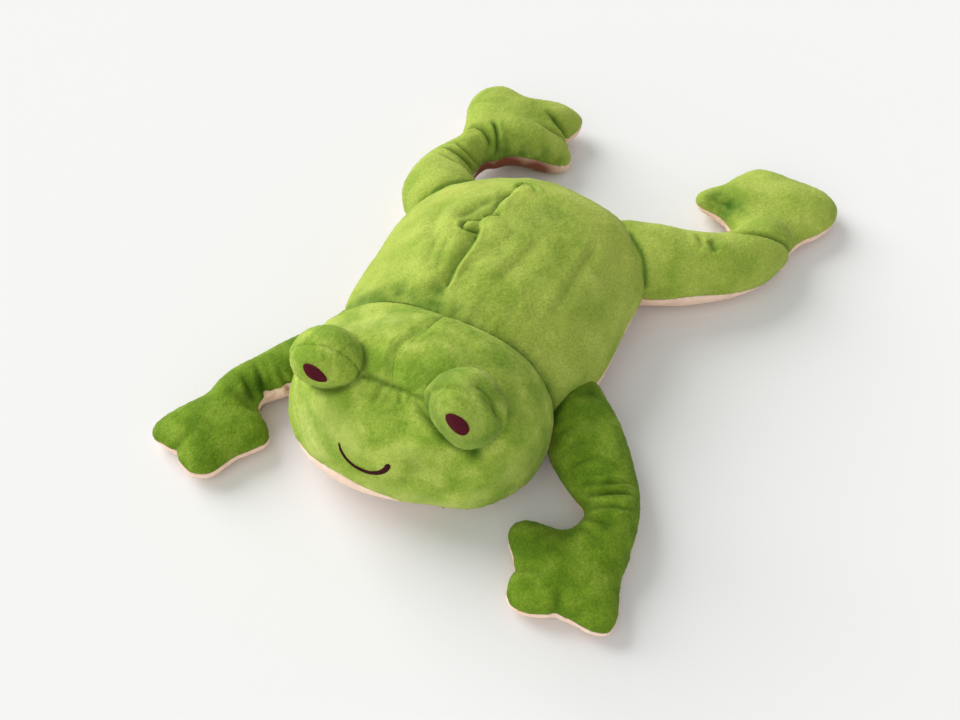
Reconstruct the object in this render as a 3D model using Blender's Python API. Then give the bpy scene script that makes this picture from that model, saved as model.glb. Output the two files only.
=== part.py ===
"""Plush frog lying on its belly, as sewn cloth panels over stuffing.

Metres, +Z up.  The frog faces -Y and +X is its own left.  The origin is the middle of
the flat patch that the belly rests on.  Every stuffed form is built three times from one
shape function: the outer skin, the cavity inside the cloth, and the stuffing, which
clears the cavity by the seam gap.  Panels are the skin between its sewn seams, less the
cavity.  Every limb has a ball at its root and an upright spheroid at its wrist or ankle,
so that it can flap in the socket in the body's side and the paw can turn on its end.
"""

import math
from dataclasses import dataclass

import bmesh
import bpy
from mathutils import Matrix, Vector

# Cloth and clearances
CLOTH = 0.0018
SEAM_GAP = 0.0003
FILL_GAP = 0.0004
RUN_CLEAR = 0.0007
NECK_CLEAR = 0.0009
FLOOR_DIP = 0.0005
OVERRUN = 0.02

# Body
BODY_HALF_WIDTH = 0.080
BODY_CROWN = 0.058
BODY_SEAM_Z = 0.022
BODY_FRONT_Y = -0.088
BODY_RUMP_Y = 0.078
BODY_SECTION_POINTS = 16
# Place along the body, then half width, crown and depth, each as a share of its size
BODY_STATION_SHARES = (
    (0.0, 0.80, 0.83, 0.80), (0.11, 0.845, 0.90, 0.95), (0.26, 0.94, 0.98, 1.0),
    (0.442, 1.0, 1.0, 1.0), (0.624, 0.99, 0.99, 1.0), (0.776, 0.945, 0.92, 1.0),
    (0.873, 0.84, 0.80, 0.92), (0.94, 0.70, 0.64, 0.75), (0.98, 0.50, 0.42, 0.50),
    (1.0, 0.25, 0.20, 0.24),
)

# Head: a dome that is round about the nodding axis behind, and shallower in front
HEAD_HALF_WIDTH = 0.0745
HEAD_RADIUS = 0.062
HEAD_FACE_REACH = 0.053
HEAD_SEAM_Z = 0.025
NECK_AHEAD = 0.020
HEAD_AXIS_Y = BODY_FRONT_Y - NECK_AHEAD
HEAD_SWELL_SHARE = 2.5
HEAD_SECTION_POINTS = 20
HEAD_STATION_SHARES = (0.0, 0.28, 0.52, 0.71, 0.86, 0.95, 0.99)
CROWN_SEAM_AHEAD = 0.021
NECK_TUCK_BEHIND = 0.050

# Eyes: bulbs set into the dome, their centres a little above its skin
EYE_RADIUS = 0.0205
EYE_SPREAD = 0.0386
EYE_AHEAD = 0.020
EYE_RISE = 0.0051
EYE_SEAM_AHEAD = 0.005
EYE_SEGMENTS = 14
EYE_RINGS = 8
PUPIL_HALF_WIDTH = 0.0079
PUPIL_HALF_HEIGHT = 0.0062
PUPIL_THICKNESS = 0.0008
PUPIL_POINTS = 16
PUPIL_TILT_DEG = 22.0
PUPIL_TURN_DEG = 10.0

# Mouth: a satin cord stitched over the face
MOUTH_HALF_WIDTH = 0.0147
MOUTH_ASIDE = -0.0045
MOUTH_END_RISE = 0.0265
MOUTH_DROP = 0.0100
MOUTH_THREAD_RADIUS = 0.0011
MOUTH_POINTS = 13

# Arms and legs, shared by both sides: each has a ball in the body's side
ARM_BALL_RADIUS = 0.0158
ARM_HALF_WIDTH = 0.0150
ARM_HALF_HEIGHT = 0.0140
WRIST_HALF_WIDTH = 0.0165
WRIST_HALF_HEIGHT = 0.0140
SHOULDER_TUCK = 0.003
SHOULDER_BEHIND = 0.053
SHOULDER_RISE = 0.0007
LEG_BALL_RADIUS = 0.0235
LEG_HALF_WIDTH = 0.0225
LEG_HALF_HEIGHT = 0.0195
ANKLE_HALF_WIDTH = 0.0205
ANKLE_HALF_HEIGHT = 0.0165
HIP_TUCK = 0.014
HIP_AHEAD = 0.023
HIP_RISE = 0.001
ARM_CHEEK_CLEAR = 0.0015
LIMB_SECTION_POINTS = 12
BALL_SEGMENTS = 20
BALL_RINGS = 10
RING_SHARES = (0.0, 0.17, 0.36, 0.55, 0.73, 0.88, 1.0)
ROOT_TURNS_DEG = (75.0, 48.0, 22.0)
TIP_TURNS_DEG = (28.0, 54.0, 76.0)
ROOT_TAPER_SHARE = 0.3125
TIP_TAPER_SHARE = 0.4
HEADING_STEP_SHARE = 0.1
ARM_BOW_SHARES = ((0.0, 0.0), (0.14, 0.40), (0.3, 0.75), (0.5, 1.0), (0.7, 0.95), (0.88, 0.5), (1.0, 0.0))
LEG_BOW_SHARES = ((0.0, 0.0), (0.2, 0.52), (0.4, 0.9), (0.55, 1.0), (0.8, 0.6), (1.0, 0.0))

# Where each wrist lies: outside the cheek as a share of the paw's reach, and ahead of the
# shoulder.  Each ankle lies outside and behind its hip.  The limb bows outwards between.
WRIST_LEFT_OUT_SHARE = 0.827
WRIST_LEFT_AHEAD = 0.075
ARM_LEFT_BOW = 0.0100
WRIST_RIGHT_OUT_SHARE = 0.645
WRIST_RIGHT_AHEAD = 0.074
ARM_RIGHT_BOW = 0.0095
ANKLE_LEFT_OUT = 0.065
ANKLE_LEFT_BEHIND = 0.061
LEG_LEFT_BOW = 0.0150
ANKLE_RIGHT_OUT = 0.006
ANKLE_RIGHT_BEHIND = 0.062
LEG_RIGHT_BOW = 0.0165

# Paws and feet: outlines by turn from the middle digit, and reach as a share of it
PAW_REACH = 0.055
PAW_SEAM_Z = 0.0085
PAW_CROWN = 0.0125
FOOT_REACH = 0.083
FOOT_SEAM_Z = 0.0090
FOOT_CROWN = 0.0145
PAW_OUTLINE_SHARES = (
    (0.0, 1.0), (11.0, 0.95), (24.0, 0.80), (36.0, 0.77), (47.0, 0.83), (57.0, 0.85),
    (66.0, 0.76), (78.0, 0.56), (96.0, 0.40), (125.0, 0.34),
)
FOOT_OUTLINE_SHARES = (
    (0.0, 1.0), (9.0, 0.96), (20.0, 0.82), (32.0, 0.77), (43.0, 0.81), (51.0, 0.80),
    (59.0, 0.71), (71.0, 0.52), (90.0, 0.36), (125.0, 0.26),
)
# Rings from the crown to the seam, and from the seam to the sole: size and height
PAD_TOP_SHARES = ((0.16, 1.0), (0.62, 0.82), (0.90, 0.42), (1.0, 0.0))
PAD_SOLE_SHARES = ((0.92, 0.55), (0.72, 1.0), (0.20, 1.0))
PAD_HUB_SHARE = 0.36
PAD_SWING_DEG = 24.0
PAW_LEFT_TURN_DEG = -120.0
PAW_RIGHT_TURN_DEG = -76.0
FOOT_LEFT_TURN_DEG = 110.0
FOOT_RIGHT_TURN_DEG = 58.0
FOOT_RIGHT_ROLL_DEG = 16.0
# How far the digit next to the head or the rump reaches, against its twin
PAW_LEFT_INNER_SHARE = 0.98
PAW_RIGHT_INNER_SHARE = 0.82
FOOT_LEFT_INNER_SHARE = 0.88
FOOT_RIGHT_INNER_SHARE = 0.82

# How much of each step between two rows of a table is eased
EASE_SHARE = 0.35

GREEN = (0.33, 0.47, 0.09, 1.0)
DEEP_GREEN = (0.20, 0.35, 0.05, 1.0)
PINK = (0.90, 0.66, 0.55, 1.0)
MAROON = (0.065, 0.008, 0.014, 1.0)
FILL = (0.92, 0.91, 0.88, 1.0)


def clear_scene():
    """Remove everything that the file holds."""
    for thing in list(bpy.data.objects):
        bpy.data.objects.remove(thing, do_unlink=True)
    for group in list(bpy.data.collections):
        bpy.data.collections.remove(group)


def make_material(name, colour, roughness):
    """A Principled cloth, thread or filling."""
    material = bpy.data.materials.new(name)
    material.use_nodes = True
    shader = material.node_tree.nodes["Principled BSDF"]
    shader.inputs["Base Color"].default_value = colour
    shader.inputs["Roughness"].default_value = roughness
    shader.inputs["Metallic"].default_value = 0.0
    material.diffuse_color = colour
    return material


def make_collection(name):
    """A collection under the scene."""
    group = bpy.data.collections.new(name)
    bpy.context.scene.collection.children.link(group)
    return group


clear_scene()
PARTS = make_collection("plush_frog")
CUTTERS = make_collection("cutters")
PLUSH_GREEN = make_material("plush_green", GREEN, 0.95)
PLUSH_DEEP = make_material("plush_deep_green", DEEP_GREEN, 0.95)
PLUSH_PINK = make_material("plush_pink", PINK, 0.9)
SATIN = make_material("satin_maroon", MAROON, 0.45)
FIBREFILL = make_material("fibrefill", FILL, 1.0)


def link(thing, group):
    """Move an object into one collection."""
    for other in list(thing.users_collection):
        other.objects.unlink(thing)
    group.objects.link(thing)
    return thing


def as_cutter(thing):
    """Mark an object as a guide that cuts and isn't part of the frog."""
    thing.hide_render = True
    thing.display_type = "WIRE"
    return link(thing, CUTTERS)


def loft(name, rings):
    """A closed skin through rings of equal count, with a flat cap at each end."""
    mesh = bpy.data.meshes.new(name)
    work = bmesh.new()
    rows = [[work.verts.new(point) for point in ring] for ring in rings]
    count = len(rows[0])
    for near, far in zip(rows, rows[1:]):
        for index in range(count):
            after = (index + 1) % count
            work.faces.new((near[index], near[after], far[after], far[index]))
    work.faces.new(rows[0])
    work.faces.new(rows[-1])
    bmesh.ops.recalc_face_normals(work, faces=work.faces)
    bmesh.ops.triangulate(work, faces=work.faces, quad_method="FIXED")
    work.to_mesh(mesh)
    work.free()
    thing = bpy.data.objects.new(name, mesh)
    bpy.context.scene.collection.objects.link(thing)
    return thing


def box(name, low, high):
    """A block between two corners, for keeping one side of a seam."""
    low, high = Vector(low), Vector(high)
    bpy.ops.mesh.primitive_cube_add(size=1.0, location=(low + high) / 2.0)
    thing = bpy.context.object
    thing.name = name
    thing.data.transform(Matrix.Diagonal((*(high - low), 1.0)))
    return as_cutter(thing)


def ball(name, centre, radius, segments=BALL_SEGMENTS, rings=BALL_RINGS, squash=1.0):
    """A sphere, flattened along Z by squash."""
    bpy.ops.mesh.primitive_uv_sphere_add(
        segments=segments, ring_count=rings, radius=radius, location=centre)
    thing = bpy.context.object
    thing.name = name
    thing.data.transform(Matrix.Diagonal((1.0, 1.0, squash, 1.0)))
    return thing


def cut(thing, tool, operation="DIFFERENCE"):
    """Add one exact Boolean to an object."""
    modifier = thing.modifiers.new(tool.name, "BOOLEAN")
    modifier.operation = operation
    modifier.object = tool
    modifier.solver = "EXACT"
    return thing


class Pivot:
    """An empty on a joint's axis, which carries the pieces that move with it."""

    def __init__(self, name, place, carrier=None):
        self.place = Vector(place)
        self.empty = bpy.data.objects.new(name, None)
        self.empty.empty_display_size = CLOTH
        self.empty.location = self.place - (carrier.place if carrier else Vector())
        self.empty.parent = carrier.empty if carrier else None
        CUTTERS.objects.link(self.empty)

    def carry(self, thing):
        """Hang an object from the empty, with its origin there and its shape in place."""
        thing.data.transform(Matrix.Translation(-self.place) @ thing.matrix_basis)
        thing.matrix_basis = Matrix.Identity(4)
        thing.parent = self.empty


def piece(thing, name, material, carrier=None):
    """Make an object a finished piece, hung from its carrier's pivot if it moves."""
    thing.name = name
    thing.data.name = name
    thing.data.materials.clear()
    thing.data.materials.append(material)
    thing.data.shade_smooth()
    link(thing, PARTS)
    if carrier is not None:
        carrier.carry(thing)
    return thing


def blend_shares(table, place):
    """Read a table of shares between its rows, with level ends at each row's neighbours."""
    for (start, low), (end, high) in zip(table, table[1:]):
        if place <= end:
            part = (place - start) / (end - start)
            eased = part * part * (3.0 - 2.0 * part)
            return low + (high - low) * (part + (eased - part) * EASE_SHARE)
    return table[-1][1]


def rest(height, floor):
    """Lay a point on the floor if it lies under it, or above it by less than the dip."""
    return floor if height < floor + FLOOR_DIP else height


def oval(across, up, down, count, floor, centre):
    """One section: half width, height above its seam and depth below it, flat on the floor."""
    ring = []
    for index in range(count):
        turn = 2.0 * math.pi * (index + 0.5) / count
        reach = up if math.sin(turn) > 0.0 else down
        height = rest(centre + reach * math.sin(turn), floor)
        ring.append((across * math.cos(turn), height))
    return ring


def body_form(name, inset):
    """The body's swelling skin, drawn in by inset all round."""
    middle = (BODY_FRONT_Y + BODY_RUMP_Y) / 2.0
    length = BODY_RUMP_Y - BODY_FRONT_Y
    rings = []
    for along, wide, tall, deep in BODY_STATION_SHARES:
        y = BODY_FRONT_Y + along * length
        y += inset * (middle - y) / (length / 2.0)
        section = oval(
            wide * BODY_HALF_WIDTH - inset, tall * BODY_CROWN - inset * tall,
            deep * (BODY_SEAM_Z + FLOOR_DIP) - inset * deep, BODY_SECTION_POINTS,
            inset, BODY_SEAM_Z)
        rings.append([(x, y, z) for x, z in section])
    return loft(name, rings)


def head_girth(place):
    """The dome's size at a place along its half width, both as shares."""
    return (1.0 - abs(place) ** HEAD_SWELL_SHARE) ** (1.0 / HEAD_SWELL_SHARE)


def head_form(name, inset, full_round=False):
    """The head's dome; full_round keeps the back's radius in front and underneath."""
    face = HEAD_RADIUS if full_round else HEAD_FACE_REACH
    depth = HEAD_RADIUS if full_round else HEAD_SEAM_Z + FLOOR_DIP
    floor = -HEAD_RADIUS if full_round else inset
    places = [-share for share in reversed(HEAD_STATION_SHARES[1:])]
    places += list(HEAD_STATION_SHARES)
    rings = []
    for place in places:
        girth = head_girth(place)
        ring = []
        for index in range(HEAD_SECTION_POINTS):
            turn = 2.0 * math.pi * (index + 0.5) / HEAD_SECTION_POINTS
            reach = (face if math.cos(turn) < 0.0 else HEAD_RADIUS) * girth - inset
            rise = (HEAD_RADIUS if math.sin(turn) > 0.0 else depth) * girth - inset
            y = HEAD_AXIS_Y + reach * math.cos(turn)
            z = rest(HEAD_SEAM_Z + rise * math.sin(turn), floor)
            ring.append((place * (HEAD_HALF_WIDTH - inset), y, z))
        rings.append(ring)
    return loft(name, rings)


@dataclass(frozen=True)
class LimbKind:
    """What both arms, or both legs, have alike."""

    shade: str
    root: tuple
    ball_radius: float
    half_width: float
    half_height: float
    end_half_width: float
    end_half_height: float
    bow_shares: tuple
    pad_reach: float
    pad_seam_z: float
    pad_crown: float
    pad_shares: tuple
    by_cheek: bool


@dataclass(frozen=True)
class LimbPlace:
    """Where one limb lies; side is 1 on the frog's left and -1 on its right."""

    stem: str
    pad_stem: str
    side: float
    kind: LimbKind
    tip: tuple
    bow: float
    pad_turn_deg: float
    pad_roll_deg: float
    inner_share: float


class Limb:
    """The run of one arm or leg, from its ball to its wrist or ankle."""

    def __init__(self, spot):
        kind = spot.kind
        self.spot = spot
        self.kind = kind
        self.root = Vector((spot.side * kind.root[0], kind.root[1], kind.root[2]))
        self.tip = Vector((*spot.tip, 0.0))
        self.run = (self.tip - self.root).xy.length
        self.along = Vector((self.tip.x - self.root.x, self.tip.y - self.root.y, 0)) / self.run
        self.out = Vector((-self.along.y, self.along.x, 0.0))
        if self.out.x * spot.side < 0.0:
            self.out = -self.out
        self.end_z = kind.end_half_height - FLOOR_DIP

    def centre(self, share):
        """A point of the centre line, at a share of the run."""
        reach = self.along * (self.run * share)
        held = max(0.0, min(share, 1.0))
        bow = self.out * (self.spot.bow * blend_shares(self.kind.bow_shares, held))
        height = self.girth(share)[1] - FLOOR_DIP
        height += (self.root.z - height) * max(0.0, 1.0 - held / ROOT_TAPER_SHARE)
        point = self.root + reach + bow
        return Vector((point.x, point.y, height))

    def girth(self, share):
        """Half width and half height at a share of the run."""
        kind = self.kind
        near = max(0.0, 1.0 - max(0.0, share) / ROOT_TAPER_SHARE)
        late = min(1.0, max(0.0, (share - TIP_TAPER_SHARE) / (1.0 - TIP_TAPER_SHARE)))
        across = kind.half_width + (kind.end_half_width - kind.half_width) * late
        up = kind.half_height + (kind.end_half_height - kind.half_height) * late
        return across + (kind.ball_radius - across) * near, up + (kind.ball_radius - up) * near

    def heading(self, share):
        """The centre line's level direction at a share of the run."""
        ahead = self.centre(min(share + HEADING_STEP_SHARE, 1.0))
        line = ahead - self.centre(max(share - HEADING_STEP_SHARE, 0.0))
        return Vector((line.x, line.y, 0.0)).normalized()

    def ring(self, centre, heading, across, up, inset):
        """A section square to the heading, flat on the floor."""
        side = Vector((-heading.y, heading.x, 0.0))
        section = oval(across - inset, up - inset, up - inset, LIMB_SECTION_POINTS,
                       inset, centre.z)
        return [(centre.x + side.x * x, centre.y + side.y * x, z) for x, z in section]

    def form(self, name, inset):
        """The limb's skin: ball, swelling tube and upright spheroid."""
        rings = []
        head = self.heading(0.0)
        radius = self.kind.ball_radius
        for turn_deg in ROOT_TURNS_DEG:
            back = -(radius - inset) * math.sin(math.radians(turn_deg))
            girth = (radius - inset) * math.cos(math.radians(turn_deg)) + inset
            rings.append(self.ring(self.root + head * back, head, girth, girth, inset))
        for share in RING_SHARES:
            across, up = self.girth(share)
            rings.append(self.ring(self.centre(share), self.heading(share), across, up, inset))
        head = self.heading(1.0)
        width, height = self.kind.end_half_width, self.kind.end_half_height
        for turn_deg in TIP_TURNS_DEG:
            ahead = (width - inset) * math.sin(math.radians(turn_deg))
            flat = math.cos(math.radians(turn_deg))
            across = (width - inset) * flat + inset
            up = (height - inset) * flat + inset
            rings.append(self.ring(self.centre(1.0) + head * ahead, head, across, up, inset))
        return loft(name, rings)

    def socket(self):
        """The ball's own space in the body's side."""
        return as_cutter(ball(self.spot.stem + "_socket", self.root,
                              self.kind.ball_radius + RUN_CLEAR))

    def end_space(self):
        """The spheroid's space in the paw, and the fan that the limb sweeps."""
        clear = self.kind.end_half_width + RUN_CLEAR
        reach = self.kind.pad_reach
        centre = self.centre(1.0)
        squash = (self.kind.end_half_height + RUN_CLEAR) / clear
        seat = ball(self.spot.pad_stem + "_seat", centre, clear, squash=squash)
        head = self.heading(1.0)
        for way in (1.0, -1.0):
            block = box(self.spot.pad_stem + "_fan", (-reach, -clear, -reach), (0.0, clear, reach))
            block.data.transform(block.matrix_basis)
            angle = math.atan2(head.y, head.x) - way * math.radians(PAD_SWING_DEG)
            block.matrix_basis = Matrix.Translation(centre) @ Matrix.Rotation(angle, 4, "Z")
            cut(seat, block, "UNION")
        return as_cutter(seat)


class Pad:
    """A paw or foot: a flat pillow with three rounded digits."""

    def __init__(self, limb):
        kind = limb.kind
        self.centre = Vector((limb.tip.x, limb.tip.y, 0.0))
        self.turn = math.radians(limb.spot.pad_turn_deg)
        self.roll = math.radians(limb.spot.pad_roll_deg)
        self.reach = kind.pad_reach
        self.seam_z = kind.pad_seam_z
        self.crown = kind.pad_crown
        self.outline_shares = kind.pad_shares
        self.inner_share = limb.spot.inner_share
        self.inner_way = -limb.spot.side if kind.by_cheek else limb.spot.side

    def frame(self):
        """Where the pad lies: turned about its wrist and rolled about its middle digit."""
        lift = Matrix.Translation((0.0, 0.0, abs(math.sin(self.roll)) * self.reach / 2.0))
        turn = Matrix.Rotation(self.turn, 4, "Z")
        roll = Matrix.Rotation(self.roll, 4, "X")
        return Matrix.Translation(self.centre) @ lift @ turn @ roll

    def outline(self):
        """Points round the seam, as turn and reach."""
        right = [(-turn, share) for turn, share in reversed(self.outline_shares[1:])]
        points = []
        for turn_deg, share in right + list(self.outline_shares):
            turn = math.radians(turn_deg)
            side = max(0.0, self.inner_way * math.sin(turn))
            shorter = 1.0 - (1.0 - self.inner_share) * side
            points.append((turn, share * shorter * self.reach))
        return points

    def form(self, name, inset):
        """The pad's skin, as rings from its top centre down to its sole's."""
        edge = self.outline()
        hub = self.reach * PAD_HUB_SHARE
        levels = list(PAD_TOP_SHARES)
        levels += [(size, -rise) for size, rise in PAD_SOLE_SHARES]
        rings = []
        for size, rise in levels:
            height = rise * (self.crown - inset if rise > 0.0 else self.seam_z)
            z = rest(self.seam_z + height, inset)
            ring = []
            for turn, reach in edge:
                far = (reach - inset) * math.cos(turn) - hub
                side = (reach - inset) * math.sin(turn)
                ring.append((hub + far * size, side * size, z))
            rings.append(ring)
        thing = loft(name, rings)
        thing.data.transform(self.frame())
        return thing

    def keeps(self, name):
        """A block above the pad's seam and one below it."""
        span = 2.0 * self.reach
        blocks = (
            box(name + "_top_keep", (-span, -span, self.seam_z + HALF_GAP), (span, span, span)),
            box(name + "_under_keep", (-span, -span, -span), (span, span, self.seam_z - HALF_GAP)),
        )
        for block in blocks:
            block.data.transform(block.matrix_basis)
            block.matrix_basis = self.frame()
        return blocks


def make_panels(form, stem, carrier, panels, cutters):
    """Cut one form's skin into panels and fill it.

    form(name, inset) gives the closed skin; panels lists (name, keep, material), keep
    being the block on that panel's side of its seams.
    """
    core = as_cutter(form(stem + "_cavity", CLOTH))
    for name, keep, material in panels:
        thing = form(name, 0.0)
        cut(thing, keep, "INTERSECT")
        cut(thing, core)
        for tool in cutters:
            cut(thing, tool)
        piece(thing, name, material, carrier)
    filling = form(stem + "_stuffing", CLOTH + FILL_GAP)
    for tool in cutters:
        cut(filling, tool)
    piece(filling, stem + "_stuffing", FIBREFILL, carrier)


ARM = LimbKind(
    shade="deep", root=(BODY_HALF_WIDTH - SHOULDER_TUCK, HEAD_AXIS_Y + SHOULDER_BEHIND,
                        ARM_BALL_RADIUS + SHOULDER_RISE),
    ball_radius=ARM_BALL_RADIUS, half_width=ARM_HALF_WIDTH, half_height=ARM_HALF_HEIGHT,
    end_half_width=WRIST_HALF_WIDTH, end_half_height=WRIST_HALF_HEIGHT,
    bow_shares=ARM_BOW_SHARES, pad_reach=PAW_REACH, pad_seam_z=PAW_SEAM_Z,
    pad_crown=PAW_CROWN, pad_shares=PAW_OUTLINE_SHARES, by_cheek=True)
LEG = LimbKind(
    shade="light", root=(BODY_HALF_WIDTH - HIP_TUCK, BODY_RUMP_Y - HIP_AHEAD,
                         LEG_BALL_RADIUS + HIP_RISE),
    ball_radius=LEG_BALL_RADIUS, half_width=LEG_HALF_WIDTH, half_height=LEG_HALF_HEIGHT,
    end_half_width=ANKLE_HALF_WIDTH, end_half_height=ANKLE_HALF_HEIGHT,
    bow_shares=LEG_BOW_SHARES, pad_reach=FOOT_REACH, pad_seam_z=FOOT_SEAM_Z,
    pad_crown=FOOT_CROWN, pad_shares=FOOT_OUTLINE_SHARES, by_cheek=False)


def wrist(side, out_share, ahead):
    """Where one wrist lies: beside the cheek and ahead of the shoulder."""
    return (side * (HEAD_HALF_WIDTH + PAW_REACH * out_share), ARM.root[1] - ahead)


def ankle(side, out, behind):
    """Where one ankle lies: outside its hip and behind it."""
    return (side * (LEG.root[0] + out), LEG.root[1] + behind)


LIMBS = [Limb(spot) for spot in (
    LimbPlace("arm_left", "paw_left", 1.0, ARM,
              wrist(1.0, WRIST_LEFT_OUT_SHARE, WRIST_LEFT_AHEAD), ARM_LEFT_BOW,
              PAW_LEFT_TURN_DEG, 0.0, PAW_LEFT_INNER_SHARE),
    LimbPlace("arm_right", "paw_right", -1.0, ARM,
              wrist(-1.0, WRIST_RIGHT_OUT_SHARE, WRIST_RIGHT_AHEAD), ARM_RIGHT_BOW,
              PAW_RIGHT_TURN_DEG, 0.0, PAW_RIGHT_INNER_SHARE),
    LimbPlace("leg_left", "foot_left", 1.0, LEG,
              ankle(1.0, ANKLE_LEFT_OUT, ANKLE_LEFT_BEHIND), LEG_LEFT_BOW,
              FOOT_LEFT_TURN_DEG, 0.0, FOOT_LEFT_INNER_SHARE),
    LimbPlace("leg_right", "foot_right", -1.0, LEG,
              ankle(-1.0, ANKLE_RIGHT_OUT, ANKLE_RIGHT_BEHIND), LEG_RIGHT_BOW,
              FOOT_RIGHT_TURN_DEG, FOOT_RIGHT_ROLL_DEG, FOOT_RIGHT_INNER_SHARE),
)]

# Seam planes of body and head, half a gap to each side
HALF_GAP = SEAM_GAP / 2.0
WIDE = BODY_HALF_WIDTH + OVERRUN
TALL = BODY_SEAM_Z + BODY_CROWN + OVERRUN
BACK_Y = BODY_RUMP_Y + OVERRUN
FRONT_Y = BODY_FRONT_Y - OVERRUN

HEAD_SEAT = as_cutter(head_form("head_seat", -NECK_CLEAR, full_round=True))
SOCKETS = [limb.socket() for limb in LIMBS]

make_panels(
    body_form, "body", None,
    (
        ("back_panel_left", box("back_left_keep", (HALF_GAP, FRONT_Y, BODY_SEAM_Z + HALF_GAP),
                                (WIDE, BACK_Y, TALL)), PLUSH_GREEN),
        ("back_panel_right", box("back_right_keep", (-WIDE, FRONT_Y, BODY_SEAM_Z + HALF_GAP),
                                 (-HALF_GAP, BACK_Y, TALL)), PLUSH_GREEN),
        ("belly_panel", box("belly_keep", (-WIDE, FRONT_Y, -OVERRUN),
                            (WIDE, BACK_Y, BODY_SEAM_Z - HALF_GAP)), PLUSH_PINK),
    ),
    [HEAD_SEAT] + SOCKETS)

# Head
NECK = Pivot("neck_axis", (0.0, HEAD_AXIS_Y, HEAD_SEAM_Z))
CROWN_SEAM_Y = HEAD_AXIS_Y - CROWN_SEAM_AHEAD
TUCK_Y = HEAD_AXIS_Y + NECK_TUCK_BEHIND
NOSE_Y = HEAD_AXIS_Y - HEAD_RADIUS - OVERRUN
HEAD_TOP = HEAD_SEAM_Z + HEAD_RADIUS + OVERRUN
make_panels(
    head_form, "head", NECK,
    (
        ("crown_panel_left", box("crown_left_keep", (HALF_GAP, CROWN_SEAM_Y + HALF_GAP,
                                                     HEAD_SEAM_Z + HALF_GAP),
                                 (WIDE, TUCK_Y, HEAD_TOP)), PLUSH_GREEN),
        ("crown_panel_right", box("crown_right_keep", (-WIDE, CROWN_SEAM_Y + HALF_GAP,
                                                       HEAD_SEAM_Z + HALF_GAP),
                                  (-HALF_GAP, TUCK_Y, HEAD_TOP)), PLUSH_GREEN),
        ("face_panel", box("face_keep", (-WIDE, NOSE_Y, HEAD_SEAM_Z + HALF_GAP),
                           (WIDE, CROWN_SEAM_Y - HALF_GAP, HEAD_TOP)), PLUSH_GREEN),
        ("chin_panel", box("chin_keep", (-WIDE, NOSE_Y, -OVERRUN),
                           (WIDE, TUCK_Y, HEAD_SEAM_Z - HALF_GAP)), PLUSH_PINK),
    ),
    [])

# Eyes, set on the seam across the crown
HEAD_SKIN = as_cutter(head_form("head_skin", -SEAM_GAP))
EYE_Y = HEAD_AXIS_Y - EYE_AHEAD
EYE_SEAM_Y = EYE_Y - EYE_SEAM_AHEAD
EYE_GIRTH = head_girth(EYE_SPREAD / HEAD_HALF_WIDTH)
EYE_LEAN = math.asin(EYE_AHEAD / (HEAD_FACE_REACH * EYE_GIRTH))
EYE_Z = HEAD_SEAM_Z + HEAD_RADIUS * EYE_GIRTH * math.cos(EYE_LEAN) + EYE_RISE


def eye_ball(centre, name, inset):
    """One eye's bulb."""
    return ball(name, centre, EYE_RADIUS - inset, EYE_SEGMENTS, EYE_RINGS)


def make_eye(side, word):
    """One bulging eye with its cap, front, stuffing and pupil."""
    centre = Vector((side * EYE_SPREAD, EYE_Y, EYE_Z))
    low_x, high_x = centre.x - EYE_RADIUS - CLOTH, centre.x + EYE_RADIUS + CLOTH
    top = EYE_Z + EYE_RADIUS + CLOTH
    cap_keep = box("cap_keep_" + word, (low_x, EYE_SEAM_Y + HALF_GAP, 0.0),
                   (high_x, EYE_Y + EYE_RADIUS + CLOTH, top))
    front_keep = box("front_keep_" + word, (low_x, EYE_Y - EYE_RADIUS - CLOTH, 0.0),
                     (high_x, EYE_SEAM_Y - HALF_GAP, top))

    def form(name, inset):
        return eye_ball(centre, name, inset)

    make_panels(form, "eye_" + word, NECK,
                (("eye_cap_" + word, cap_keep, PLUSH_GREEN),
                 ("eye_front_" + word, front_keep, PLUSH_GREEN)), [HEAD_SKIN])
    make_pupil(centre, word)


def make_pupil(centre, word):
    """An oval satin patch lying on the front of an eye."""
    inner = EYE_RADIUS + SEAM_GAP
    outer = inner + PUPIL_THICKNESS
    patch = ball("pupil_" + word, centre, outer, 2 * EYE_SEGMENTS, 2 * EYE_RINGS)
    hollow = as_cutter(ball("pupil_hollow_" + word, centre, inner, 2 * EYE_SEGMENTS,
                            2 * EYE_RINGS))
    bpy.ops.mesh.primitive_cylinder_add(vertices=PUPIL_POINTS, radius=1.0, depth=1.0)
    oval_tool = bpy.context.object
    oval_tool.name = "pupil_outline_" + word
    oval_tool.data.transform(Matrix.Translation((0.0, 0.0, 0.5)))
    oval_tool.data.transform(Matrix.Diagonal(
        (PUPIL_HALF_WIDTH, PUPIL_HALF_HEIGHT, outer + CLOTH, 1.0)))
    aim = Matrix.Rotation(math.radians(PUPIL_TURN_DEG), 4, "Z")
    aim = aim @ Matrix.Rotation(math.radians(90.0 - PUPIL_TILT_DEG), 4, "X")
    oval_tool.data.transform(Matrix.Translation(centre) @ aim)
    as_cutter(oval_tool)
    cut(patch, oval_tool, "INTERSECT")
    cut(patch, hollow)
    piece(patch, "pupil_" + word, SATIN, NECK)


make_eye(1.0, "left")
make_eye(-1.0, "right")


def face_point(x, z, lift):
    """A point in front of the face, lift outside its skin."""
    girth = head_girth(x / HEAD_HALF_WIDTH)
    rise = (z - HEAD_SEAM_Z) / (HEAD_RADIUS * girth)
    reach = HEAD_FACE_REACH * girth * math.sqrt(1.0 - rise * rise)
    normal = Vector((0.0, -reach / HEAD_FACE_REACH ** 2, (z - HEAD_SEAM_Z) / HEAD_RADIUS ** 2))
    return Vector((x, HEAD_AXIS_Y - reach, z)) + normal.normalized() * lift


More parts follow.
